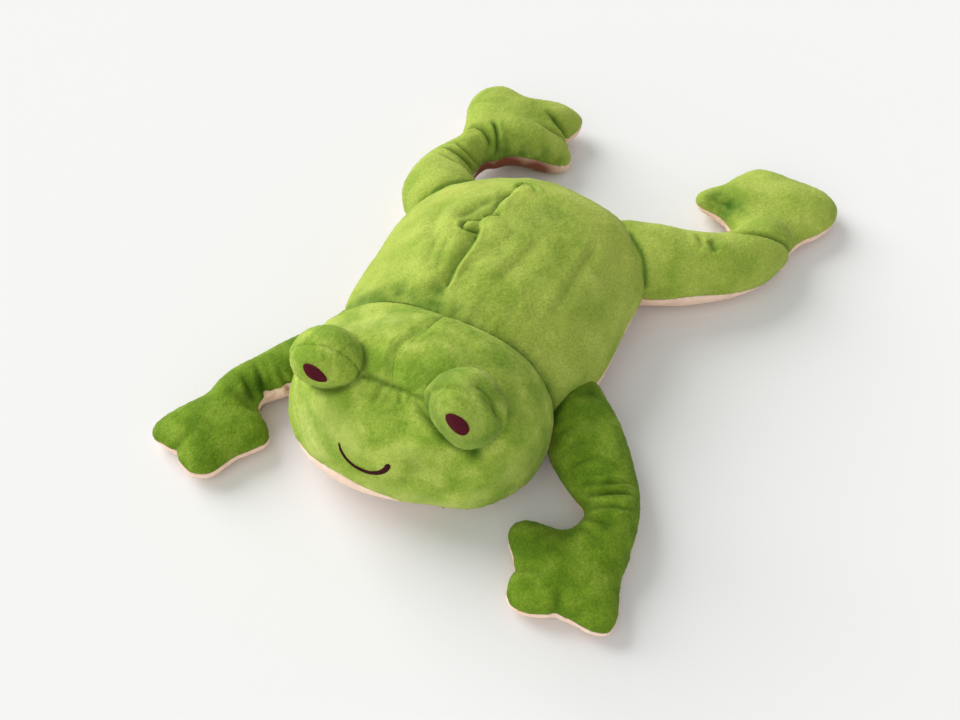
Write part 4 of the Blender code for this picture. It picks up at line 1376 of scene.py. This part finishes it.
@dataclass(frozen=True)
class Mouth:
    """The smile: a flat satin cord stitched over the face, thicker at its left end."""

    # x and z of the line, and half the stitch's width there
    line: tuple[Triple, ...] = (
        (-19.4, 52, 0.45), (-17.6, 48, 0.75), (-13.4, 43.9, 0.8), (-7.8, 41.6, 0.85),
        (-1.9, 41.4, 0.95), (3.9, 43.4, 1.1), (7.8, 46.8, 1.35), (9.5, 49.8, 1.45), (9.8, 51.6, 1.1),
    )
    # Only the face in front of this is searched for the cord's place
    front_y: float = -140.0
    sunk: float = 0.25
    end_long: float = 0.8
    stitch: float = 0.75
    stitch_share: float = 0.07
    height_share: float = 0.75

    def build(self, face: Skin) -> None:
        """Lay the cord on the face's skin.

        Its section is an oval, three quarters as high as wide, whose width swells with each
        stitch.  Over end_long at each end it closes round.

        Args:
            face: The finished skin of the face.
        """
        rows = flow(np.array(self.line), 240)
        front = face.points[face.points[:, 1] < self.front_y]
        gap = (front[None, :, 0] - rows[:, 0:1]) ** 2 + (front[None, :, 2] - rows[:, 1:2]) ** 2
        pick = np.argsort(gap, axis=1)[:, :5]
        y = front[pick, 1].mean(axis=1)
        y = np.convolve(np.pad(y, 12, mode="edge"), np.ones(25) / 25.0, mode="valid")
        centre = np.stack([rows[:, 0], y - self.sunk, rows[:, 1]], axis=1)
        heading = unit(np.gradient(centre, axis=0))
        out = unit(np.stack([rows[:, 0] * 0.004, np.full(len(rows), -1.0), np.full(len(rows), 0.33)], axis=1))
        across = unit(np.cross(heading, out))
        out = np.cross(across, heading)
        length = np.concatenate([[0.0], np.cumsum(np.linalg.norm(np.diff(centre, axis=0), axis=1))])
        closing = np.clip(1.0 - np.minimum(length, length[-1] - length) / self.end_long, 0.0, 1.0)
        ends = np.sqrt(np.clip(1.0 - closing ** 2, 0.02, 1.0))
        wide = rows[:, 2] * ends * (1.0 + self.stitch_share * np.sin(2.0 * np.pi * length / self.stitch))
        angle = np.linspace(0.0, 2.0 * np.pi, 28, endpoint=False)
        grid = (centre[:, None, :] + across[:, None, :] * (wide[:, None] * np.cos(angle))[..., None]
                + out[:, None, :] * (self.height_share * wide[:, None] * np.sin(angle))[..., None])
        Piece("mouth_stitching", grid_skin(grid), MOUTH_SATIN, Slot.SATIN, ("mouth_embroidery",),
              fill=0.9, shell=False).ride("head")


@dataclass(frozen=True)
class Limb:
    """An arm and its paw, or a leg and its foot, sewn as one sleeve of cloth.

    stations are rows of x, y, z, half width, half height and the height of the side seam on
    the left and on the right of someone who walks from the body outwards.
    """

    limb: str
    pad: str
    plush: Plush
    slot: Slot
    stations: tuple[tuple[float, float, float, float, float, float, float], ...]
    outline: tuple[Triple, ...]
    hub: Triple
    crown: float
    sole: float
    split: float
    pad_tilt: tuple[float, float] = (0.0, 0.0)
    plump: float = 1.0
    creases: tuple[Crease, ...] = ()
    swells: tuple[Swell, ...] = ()
    seam: SewnSeam = SewnSeam(depth=0.6, width=1.1, pucker=0.3, shade=0.3)
    # How far each way from the wrist or ankle the cuff's bend would reach; the cuff isn't bent
    bend_half: float = 11.0
    # How the sleeve is drawn in at the body, and the shade painted there
    root_sink: float = 1.2
    root_width: float = 4.0
    root_gather: float = 0.5
    root_shade: float = 0.65

    def line(self) -> Array:
        """The centre line's rows, drawn smoothly."""
        return flow(np.array(self.stations), 120)

    def along(self, points: Array) -> tuple[Array, Array]:
        """Find each point's nearest row of the centre line.

        Args:
            points: Places (n, 3).

        Returns:
            The row's share of the line from 0 to 1, and how far past the wrist each point is.
        """
        line = self.line()
        gap = ((points[:, None, :2] - line[None, :, :2]) ** 2).sum(axis=-1)
        share = gap.argmin(axis=1) / (len(line) - 1.0)
        heading = unit(line[-1, :2] - line[-6, :2])
        return share, (points[:, :2] - line[-1, :2]) @ heading

    def seam_gap(self, points: Array) -> Array:
        """Measure each point's height over the side seam, which goes on round the pad's outline.

        On the sleeve the seam's height eases across from its left to its right side.  On the
        pad it is the mean of the outline's and the hub's heights, weighted by 1 / (d^2 + 4)^2
        at a distance d, and tilted.  Round the wrist it eases from one to the other.

        Args:
            points: Places (n, 3).

        Returns:
            Heights (n,), below 0 under the seam.
        """
        line = self.line()
        share, past = self.along(points)
        row = np.rint(share * (len(line) - 1)).astype(int)
        heading = unit(np.gradient(line[:, :2], axis=0))[row]
        offset = points[:, :2] - line[row, :2]
        aside = (offset[:, 1] * heading[:, 0] - offset[:, 0] * heading[:, 1]) / line[row, 3]
        mix = smooth(0.5 + 0.5 * aside)
        sleeve = line[row, 5] * mix + line[row, 6] * (1.0 - mix)
        edge = np.vstack([flow(np.array(self.outline), 60, closed=True), self.hub])
        weight = 1.0 / (((points[:, None, :2] - edge[None, :, :2]) ** 2).sum(axis=-1) + 4.0) ** 2
        pad = (weight * edge[None, :, 2]).sum(axis=1) / weight.sum(axis=1)
        pad += (points[:, :2] - np.array(self.hub)[:2]) @ np.array(self.pad_tilt)
        return points[:, 2] - (sleeve + (pad - sleeve) * smooth((past + 14.0) / 22.0))

    def build(self, torso: Torso, head: Head) -> None:
        """Shape the limb, cut it where it meets the body, at its bend and at its side seam.

        Args:
            torso: The body that it is sewn to.
            head: The head, beside which it stops.
        """
        stations = np.array(self.stations)
        pad = pillow(np.array(self.outline), np.array(self.hub), self.crown, self.sole)
        skin = stuffed([sweep(stations[:, :5]), pad], coarse_rounds=7, fine_rounds=5)
        skin.push(np.full(len(skin.points), self.plump))
        amount = np.zeros(len(skin.points))
        normals = skin.normals()
        outside = torso.level(skin.points)
        self.seam.press(skin, self.seam_gap(skin.points), amount, seed=101)
        for mark in (*self.creases, *self.swells):
            mark.press(skin, normals, amount)
        PLUSH_NAP.press(skin, amount, seed=111)
        self.root_pull(skin, outside, amount)
        skin.push(amount).rest_on_floor()
        skin, _ = skin.cut(torso.level(skin.points) + TUCK)
        skin, _ = skin.cut(head.level(skin.points) + HEAD_TUCK)
        share, past = self.along(skin.points)
        cuff, sleeve = skin.cut(np.where(past > 0.0, 1.0 + past, share - self.split) * 10.0)
        line = self.line()
        root, wrist = line[0, :3], line[-1, :3]
        heading = unit(line[-1, :3] - line[-6, :3])
        middle = line[int(self.split * len(line)), :3]
        for part, cloth, bodies, start, end in (
                ("sleeve", sleeve, ("torso", self.limb), root, middle),
                ("cuff", cuff, (self.limb, self.pad), wrist - self.bend_half * heading,
                 wrist + self.bend_half * heading)):
            stem = self.limb if part == "sleeve" else self.pad
            top, under = cloth.cut(self.seam_gap(cloth.points))
            Piece(f"{stem}_top_cloth", top, self.plush, self.slot, (f"{stem}_top_panel", f"{stem}_stuffing")
                  ).bend(*bodies, start, end)
            Piece(f"{stem}_under_cloth", under, PINK_VELOUR, Slot.PINK, (f"{stem}_under_panel",)
                  ).bend(*bodies, start, end)

    def root_pull(self, skin: Skin, outside: Array, amount: Array) -> None:
        """Draw the sleeve in where it is sewn to the body, with small gathers and shade painted along the
        seam.

        It sinks by root_sink x e^-(d / root_width)^1.4 at a distance d from the body.

        Args:
            skin: The limb's skin, on which shade is painted along the seam.
            outside: Each point's distance outside the body.
            amount: The outward amounts so far, changed in place.
        """
        near = np.exp(-(np.maximum(outside, 0.0) / self.root_width) ** 1.4)
        gather = ripple(skin.points, cell=4.5, seed=121)
        amount -= near * (self.root_sink - self.root_gather * gather)
        # Shade painted along the seam to the body
        painted_shade = self.root_shade * np.exp(-(np.maximum(outside, 0.0) / 2.2) ** 2)
        skin.painted_shading[:] = np.maximum(skin.painted_shading, painted_shade)


LEFT_ARM = Limb(
    "arm_left", "paw_left", ARM_PLUSH, Slot.DEEP,
    stations=(
        (71, -53, 17.5, 18, 16, 13, 10), (82.4, -67.2, 16.8, 20.8, 15.8, 10, 8),
        (91.8, -79.2, 15.6, 21.2, 15.2, 9, 7), (102.2, -90.3, 14.6, 19, 14.6, 9, 8),
        (111.4, -100.4, 13.8, 16.2, 14, 9, 10.5), (117.4, -110.4, 13.5, 13.6, 13.6, 9, 13),
        (119.4, -121.5, 13.2, 13.6, 13.4, 9, 12), (119, -131, 13, 15.4, 13.4, 8.5, 8.5),
    ),
    outline=(
        (133, -127.7, 8.5), (134.8, -142, 8.5), (139.5, -155.8, 8.5), (142.3, -166, 8),
        (140.6, -174.3, 7.5), (132.3, -176.2, 7.5), (121.9, -175.2, 8.5), (113, -175.8, 9),
        (104, -180, 8.5), (95.1, -182.4, 7.5), (86.8, -179, 7.5), (84, -170, 8),
        (83.6, -161.5, 8.5), (80.4, -154.8, 8.5), (74, -146.7, 8), (71, -140.4, 7.5),
        (73.6, -134.6, 7.5), (79.6, -131.4, 8), (89.6, -131, 8.5), (99, -130.4, 9.5),
        (108, -123.5, 12),
    ),
    hub=(110.5, -149, 8.5), crown=13, sole=8.6, split=0.52, pad_tilt=(-0.01, -0.05),
    creases=(
        # Folds that fan from the inside of the elbow
        Crease(((73, -84.5, 20), (76, -81.5, 26), (80, -78, 29.8), (87, -72.5, 32)),
               0.9, 2, 0.6, 0.22, fade=0.4),
        Crease(((81, -92.6, 20), (84, -89.8, 26.4), (88.6, -85.4, 29.6), (97, -76.5, 31)),
               1, 1.9, 0.7, 0.28, fade=0.4),
        Crease(((87.6, -98.6, 21), (91, -96.4, 26.4), (97, -92.6, 29.4), (108.6, -85.6, 29)),
               1.2, 1.7, 0.8, 0.4, fade=0.35),
        Crease(((95.6, -106, 20), (100, -105.4, 25.4), (107, -104.4, 28.2), (116.6, -99, 27.4),
                (125.6, -91, 21)), 1.3, 1.4, 0.9, 0.46, fade=0.32),
        Crease(((99.6, -111.4, 20), (103.6, -110.8, 24.6), (109.6, -109.6, 27.2), (119.4, -104.4, 26.6),
                (129.4, -97, 20)), 1.6, 1.3, 1, 0.6, fade=0.28),
        Crease(((103, -117.2, 20), (107.6, -117.2, 24.8), (113.8, -116, 27.4), (123, -112.6, 25.6),
                (131.6, -106.6, 19)), 1.3, 1.5, 0.9, 0.48, fade=0.34),
        Crease(((104, -122.6, 21), (108.6, -124.2, 25.2), (115, -125.6, 27.4), (129.6, -125.6, 23.4)),
               1.3, 1.7, 0.8, 0.45, fade=0.35),
        Crease(((100.6, -128.4, 20), (106.6, -130.6, 24.2), (113.6, -133.2, 26.4), (125, -135.6, 24)),
               1.2, 1.9, 0.6, 0.4, fade=0.5),
        # The webs between the fingers
        Crease(((83, -161.5, 8), (89, -162, 17), (96, -161.4, 20.6), (104, -158, 21.8)),
               1.5, 2.4, 0.3, 0.15, fade=0.7, open_start=True),
        Crease(((112.4, -175.5, 8), (112.6, -171, 16.8), (111.4, -165.5, 20), (110.5, -158, 21.8)),
               1.5, 2.4, 0.3, 0.15, fade=0.7, open_start=True),
    ),
    swells=rises(
        # Rises, and dents with shade painted in them
        (84, -88, 24, 8, 1.2), (116, -150, 20, 12, 0.9), (78, -138, 14, 7, 1.2),
        (96, -139, 21, 8, -0.7, 0.32), (80, -50.5, 31, 7, -2.4, 0.55), (76, -56, 30, 6, -1.2, 0.5),
        (88, -72, 32, 7, -0.2, 0.35), (99, -133, 23, 6, -0.6, 0.3),
    ),
)
RIGHT_ARM = Limb(
    "arm_right", "paw_right", ARM_PLUSH, Slot.DEEP,
    stations=(
        (-66, -55, 16.5, 13.6, 13, 12, 12), (-73.2, -68.8, 15, 11.8, 12, 15, 11),
        (-82.4, -79.8, 14, 12.6, 12, 17, 10), (-88.8, -92.4, 13.8, 14.4, 12.2, 17.5, 9),
        (-94, -104.8, 13.6, 14.4, 12.4, 17.5, 9), (-102.4, -115.4, 13.4, 12.2, 12.6, 17, 8.5),
        (-105.4, -127.6, 13.2, 13.4, 13, 13, 8.5),
    ),
    outline=(
        (-117.3, -119.5, 8.5), (-121.5, -132.5, 8.5), (-128.7, -144.8, 8.5), (-134.9, -154.8, 8),
        (-137.8, -162.4, 7.5), (-134.8, -169.4, 7.5), (-124.9, -171.2, 8.5), (-116.4, -173, 9),
        (-108.4, -179.4, 8), (-100.4, -181, 7.5), (-92.2, -178.4, 7.5), (-88, -171, 8),
        (-84.6, -161.4, 8.5), (-78.2, -153.2, 8.5), (-73.8, -146.2, 7.5), (-76, -139.4, 7.5),
        (-86, -133.2, 8.5), (-96, -127.6, 10), (-95.4, -116.6, 13),
    ),
    hub=(-105, -149, 8.5), crown=12.8, sole=8.6, split=0.52, pad_tilt=(0.045, -0.045),
    creases=(
        Crease(((-80, -111, 13), (-84.5, -109.6, 20), (-88.4, -106.4, 24.8), (-96, -99, 25.6)),
               1.6, 1.6, 0.8, 0.6, fade=0.6, open_start=True),
        Crease(((-88, -122, 18), (-91.4, -119.4, 22.6), (-98, -113.6, 25.8), (-106, -106.5, 25)),
               2.3, 1.5, 1, 0.85, fade=0.6, open_start=True),
        Crease(((-91, -127.6, 19), (-95, -126, 23.4), (-101, -123, 26), (-110, -118, 25.4)),
               2, 1.6, 0.9, 0.75, fade=0.6, open_start=True),
        Crease(((-90, -133, 17), (-97, -133.4, 24), (-105, -131, 26.4), (-113, -127, 25)),
               1.2, 2, 0.5, 0.25, fade=0.6, open_start=True),
        Crease(((-117.5, -173.5, 8), (-113.5, -168.5, 16), (-109.5, -163, 19.6),
                (-106.5, -156, 21.2)), 1.5, 2.4, 0.3, 0.15, fade=0.7, open_start=True),
    ),
    swells=rises(
        # Rises, and dents with shade painted in them
        (-112, -150, 20, 11, 0.9), (-84, -140, 15, 8, 0.7), (-94, -129, 22, 6, -1.2, 0.75),
        (-92, -121, 21, 6, -0.6, 0.65), (-86, -104, 22, 6, -0.2, 0.45),
    ),
)
LEFT_LEG = Limb(
    "leg_left", "foot_left", BACK_PLUSH, Slot.GREEN,
    stations=(
        (60, 54, 26, 25, 25.5, 18, 19.5), (80.8, 63.4, 24.5, 24, 24, 15, 19.5),
        (97, 72.2, 22, 22.8, 22.2, 14, 21), (110.9, 81, 20.6, 21, 20.8, 13, 17),
        (121, 91.8, 18.6, 19.6, 19, 12, 11), (127.6, 104.4, 17, 18.8, 17.6, 12, 7),
        (130.2, 115.6, 16.2, 17.2, 16.8, 12, 7.5),
    ),
    outline=(
        (147.4, 109.6, 8), (147.4, 121.6, 10.5), (152.4, 134.2, 11), (160.3, 146, 10.5),
        (166.4, 160.4, 9.5), (166.2, 172, 9), (160.9, 181, 9), (149.3, 186, 9.5),
        (134, 187, 9.5), (118, 190.4, 9), (106.7, 190, 8.5), (100.2, 182.8, 8.5),
        (93.8, 168.6, 9), (86.8, 157.4, 9), (78.4, 148.8, 10.5), (79.2, 139.4, 13),
        (86, 134.4, 14), (96.4, 130.8, 14), (109.3, 122.4, 13), (121, 109, 12),
    ),
    hub=(122, 146, 9), crown=15.4, sole=9.2, split=0.45, pad_tilt=(0.03, -0.05),
    creases=(
        # The ankle, where the sleeve is drawn in round the foot
        Crease(((110, 101, 33), (118.4, 100.4, 36.6), (126.1, 103.6, 35.1), (134.1, 106.8, 33),
                (140.4, 110.4, 29), (145, 115.4, 21), (147, 119.5, 11)),
               3.8, 1.5, 0.25, 0.75, slack=1.2, fade=0.12),
        Crease(((95.5, 83.5, 44.4), (98.2, 79, 44.4), (100.4, 74, 43.4), (102.6, 68.6, 41.4)),
               1.2, 2, 0.6, 0.32),
        Crease(((104.6, 79.5, 42.6), (107.6, 75.6, 42), (111.6, 72.4, 39.6)), 2.2, 2.9, 0.7, 0.66),
        # The fold beside the hip seam
        Crease(((59, 57.7, 51.6), (65.4, 51, 51), (71.9, 46.4, 47.9), (75.5, 42.7, 44.4),
                (78.8, 37.6, 37.1), (80, 35.7, 27.4)), 1.2, 2, 0.2, 0.85, fade=0.12),
        Crease(((93, 60, 24), (94.6, 58, 20), (96, 56.6, 16.5)), 1.2, 1.5, 0.5, 0.45),
        Crease(((103, 61.6, 22), (105, 59.4, 17.6), (106.4, 58.2, 14.6)), 1.2, 1.5, 0.5, 0.45),
        Crease(((80, 52, 34), (81.4, 49.6, 28), (82.4, 48, 22)), 1.2, 1.8, 0.5, 0.4),
    ),
    swells=rises(
        # The dent in the foot with shade painted in it, then rises of the foot and leg
        (99, 135, 24, 10, -4.8, 1.05), (91, 138.5, 22.5, 9, -1, 0.9), (107, 134, 26, 8.5, -0.6, 0.75),
        (100, 130, 20, 8, 0, 0.8), (104, 150, 24, 11, 1.5), (135, 160, 24, 18, 1.2), (126, 93, 34, 10, 1),
        (138, 122, 24, 10, 0.9),
    ),
)
RIGHT_LEG = Limb(
    "leg_right", "foot_right", BACK_PLUSH, Slot.GREEN,
    stations=(
        (-60, 53, 25.5, 24, 24.5, 17, 17), (-71.5, 65, 24, 23.6, 23, 15, 17),
        (-76.3, 76.5, 22, 19.6, 21, 14, 18), (-77, 88.5, 21, 16.2, 19, 14, 20),
        (-74.2, 100, 21, 12.6, 17.2, 14, 21), (-70.6, 110.5, 22, 10.8, 15.8, 14, 21),
        (-68, 120, 23, 13, 16.2, 16, 20),
    ),
    outline=(
        (-57.2, 110.4, 21), (-51, 117.4, 21.5), (-40.6, 121.8, 22), (-27.6, 126.2, 19),
        (-17.6, 132.4, 14), (-11, 142.4, 10), (-13.8, 149.4, 10.5), (-23.4, 158.2, 14),
        (-20.4, 169, 13), (-17.8, 182, 13), (-24.5, 188.4, 13), (-36.5, 187.4, 16),
        (-49, 179.8, 19), (-62.4, 177.4, 20), (-77.8, 183.8, 19), (-88, 178.8, 19),
        (-93.4, 167, 21), (-91.4, 150.4, 23), (-85, 134, 23), (-79, 118, 22),
    ),
    hub=(-56, 146, 23), crown=15.5, sole=18, split=0.45, pad_tilt=(0, -0.02),
    creases=(
        # Three folds inside the knee
        Crease(((-50, 74, 36), (-56, 76, 39.4), (-63, 77.8, 41.4), (-73, 80, 42.4),
                (-85.2, 84, 40.8)), 2.6, 1.6, 1.1, 0.85, fade=0.45, open_start=True),
        Crease(((-57, 94, 22), (-62.4, 91.6, 30.6), (-68.2, 89.2, 38.2), (-77.1, 89.7, 41.1),
                (-84, 92, 39)), 3, 1.5, 1.2, 0.95, fade=0.35, open_start=True),
        Crease(((-58, 99.5, 24), (-64, 96.4, 34.6), (-70.4, 96.9, 39.2), (-78, 100, 38)),
               2.6, 1.4, 1, 0.8, fade=0.4, open_start=True),
        # Folds over the ankle
        Crease(((-80, 115.4, 36), (-75.7, 116.6, 38.8), (-70.9, 118.6, 40.4), (-64.5, 117.8, 39.3),
                (-59, 115.2, 36.2), (-55.5, 111.5, 29)), 3.8, 1.6, 1.3, 0.95, slack=1.5, fade=0.15),
        Crease(((-51.5, 113, 26), (-56.4, 121, 35.6), (-61, 127.4, 37.9), (-65, 133, 39)),
               3.2, 1.6, 1.1, 0.9, fade=0.4, open_start=True),
        # Between the toes
        Crease(((-22.5, 160.5, 12), (-26, 161.4, 20), (-30.5, 161.4, 27), (-36, 162, 31.4),
                (-43, 163, 34)), 3.6, 1.8, 1.1, 0.95, slack=1.5, fade=0.5, open_start=True),
        Crease(((-21.5, 154, 17), (-27, 149.6, 25), (-34, 147, 30.6), (-42, 145.5, 34)),
               2.2, 1.7, 0.7, 0.6, fade=0.6, open_start=True),
    ),
    swells=rises(
        (-78, 160, 36, 14, 1.5), (-70, 106, 40, 6, 1.2), (-28, 174, 24, 8, 1),
        # The steep near side of the arch, swollen, with shade painted on it
        (-58, 127, 37, 8, 1.2), (-46, 134, 34, 10, 2.6), (-33, 140, 29, 9, 2.2), (-22, 145, 22, 7, 1.4),
        (-57, 113, 27, 7.5, 0, 0.8), (-49, 118, 28, 8.5, 0, 0.85), (-38, 122.5, 26, 8.5, 0, 0.85),
        (-27, 128.5, 22, 8.5, 0, 0.8), (-17.5, 136, 16, 7.5, 0, 0.65), (-45, 128, 32, 7, 0, 0.45),
        # Its underside in deep shade
        (-60, 108, 10, 15, 0, 1.5), (-46, 117, 10, 16, 0, 1.6), (-30, 124, 8, 14, 0, 1.5),
    ),
)


@dataclass(frozen=True)
class Studio:
    """Plain pale floor, soft light from the upper left of the picture, and the camera."""

    camera_place: Triple = (201.2, -452.2, 551.6)
    camera_aim: Triple = (4.0, -33.5, 0.0)
    lens: float = 45.0
    film: float = 36.0
    floor_colour: Triple = (0.77, 0.77, 0.76)
    floor_half: float = 6000.0
    floor_height: float = -0.1
    backdrop: Triple = (0.88, 0.88, 0.87)
    key_from: Triple = (-0.830, 0.200, 0.520)
    key_spread_deg: float = 48.0
    key_strength: float = 3.1
    fill_from: Triple = (-0.05, -0.94, 0.34)
    fill_spread_deg: float = 90.0
    fill_strength: float = 1.5
    sky: float = 0.50

    def lamp(self, name: str, place: Triple, spread_deg: float, strength: float) -> None:
        """Add a far, broad lamp that lights everything evenly from one side.

        Args:
            name: Its name.
            place: The direction that its light comes from.
            spread_deg: How wide it looks from the frog, which softens its shadows.
            strength: Its light on a surface that faces it, where pi is white.
        """
        data = bpy.data.lights.new(name, "SUN")
        data.energy = strength
        data.angle = math.radians(spread_deg)
        lamp = bpy.data.objects.new(name, data)
        lamp.location = Vector(place)
        lamp.rotation_euler = (-Vector(place)).to_track_quat("-Z", "Y").to_euler()
        bpy.context.scene.collection.objects.link(lamp)

    def world(self) -> None:
        """A soft white sky for the light, and the floor's own colour behind it for the eye."""
        world = bpy.data.worlds.new("studio")
        bpy.context.scene.world = world
        nodes = Nodes(world)
        sky = nodes.feed(nodes.tree.nodes["Background"],
                         {"Color": (1.0, 1.0, 1.0, 1.0), "Strength": self.sky})
        seen = nodes.add("Background", {"Color": (*self.backdrop, 1.0)})
        path = nodes.add("LightPath", {})
        mix = nodes.add("MixShader", {"Fac": path.outputs["Is Camera Ray"],
                                      1: sky.outputs["Background"], 2: seen.outputs["Background"]})
        nodes.feed(nodes.tree.nodes["World Output"], {"Surface": mix.outputs["Shader"]})

    def floor(self) -> None:
        """A wide matt sheet just under the belly."""
        corners = np.array([(-1.0, -1.0), (1.0, -1.0), (1.0, 1.0), (-1.0, 1.0)]) * self.floor_half
        points = np.column_stack([corners, np.full(4, self.floor_height)])
        skin = Skin(points, np.array([[0, 1, 2], [0, 2, 3]]))
        sheet = bpy.data.objects.new("floor", to_mesh("floor", skin))
        paper = bpy.data.materials.new("pale_paper")
        nodes = Nodes(paper)
        nodes.feed(nodes.tree.nodes["Principled BSDF"], {
            "Base Color": (*self.floor_colour, 1.0), "Roughness": 0.9, "Specular IOR Level": 0.1})
        sheet.data.materials.append(paper)
        bpy.context.scene.collection.objects.link(sheet)

    def camera(self) -> None:
        """The camera at the photograph's viewing angle."""
        data = bpy.data.cameras.new("camera")
        data.lens = self.lens
        data.sensor_width = self.film
        data.clip_start = 0.01
        camera = bpy.data.objects.new("camera", data)
        camera.location = Vector(self.camera_place) * MM
        aim = (Vector(self.camera_aim) - Vector(self.camera_place)) * MM
        camera.rotation_euler = aim.to_track_quat("-Z", "Y").to_euler()
        bpy.context.scene.collection.objects.link(camera)
        bpy.context.scene.camera = camera

    def build(self) -> None:
        """Put up the whole studio."""
        self.camera()
        self.floor()
        self.world()
        self.lamp("key_light", self.key_from, self.key_spread_deg, self.key_strength)
        self.lamp("fill_light", self.fill_from, self.fill_spread_deg, self.fill_strength)
        bpy.context.scene.view_settings.view_transform = "Standard"


EYES = (
    Eye(Side.LEFT, (39.6, -127.6, 82), seam_ahead=3.6, seam_turn=0.13, pupil_turn_deg=12,
        pupil_tilt_deg=26, pupil_roll_deg=27, halves=(21.4, 20.8, 20.8), flat=0.13, pupil_wide=8.3,
        pupil_tall=5.7, cap_lip=0.8, pressed=(-0.54, -0.83, -0.14), pressed_share=0.22, painted_shade_tone=0.36,
        creases=(
            Crease(((42, -128.6, 103), (46.5, -126.4, 101.8), (51, -126.2, 99), (55, -127.6, 94.6),
                    (57.6, -129.8, 90), (59, -131, 85)), 1.9, 2, 0.6, 0.75, slack=1.7),
            Crease(((44.5, -130.6, 100.8), (50, -131.2, 97.6), (54.6, -131.8, 93.4), (57.6, -133, 88)),
                   -0.9, 1.7, 0, 0),
        ),
        seam=SewnSeam(depth=1.3, width=1.5, pucker=0.5, pitch=4, shade=0.5)),
    Eye(Side.RIGHT, (-38.4, -127.4, 80.6), seam_ahead=4.6, seam_turn=0.16, pupil_turn_deg=8,
        pupil_tilt_deg=21, pupil_roll_deg=27, halves=(19.8, 18.2, 16.8), flat=0.08, pupil_wide=8.3,
        pupil_tall=4.3, pupil_point=1.75, pressed=(0.326, -0.693, -0.643), pressed_share=0.13,
        seam=SewnSeam(depth=0.5, width=0.7, pucker=0.3, pitch=4, shade=0.6)),
)
LIMBS = (LEFT_ARM, RIGHT_ARM, LEFT_LEG, RIGHT_LEG)


def main() -> None:
    """Build the frog over its frame, piece by piece, and the studio round it."""
    logging.basicConfig(level=logging.INFO, format="%(name)s: %(message)s")
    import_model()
    Studio().build()
    head = Head()
    torso = Torso()
    torso.build(head)
    face = head.build(EYES)
    for eye in EYES:
        eye.build(head)
    Mouth().build(face)
    for limb in LIMBS:
        limb.build(torso, head)


if __name__ == "__main__":
    main()
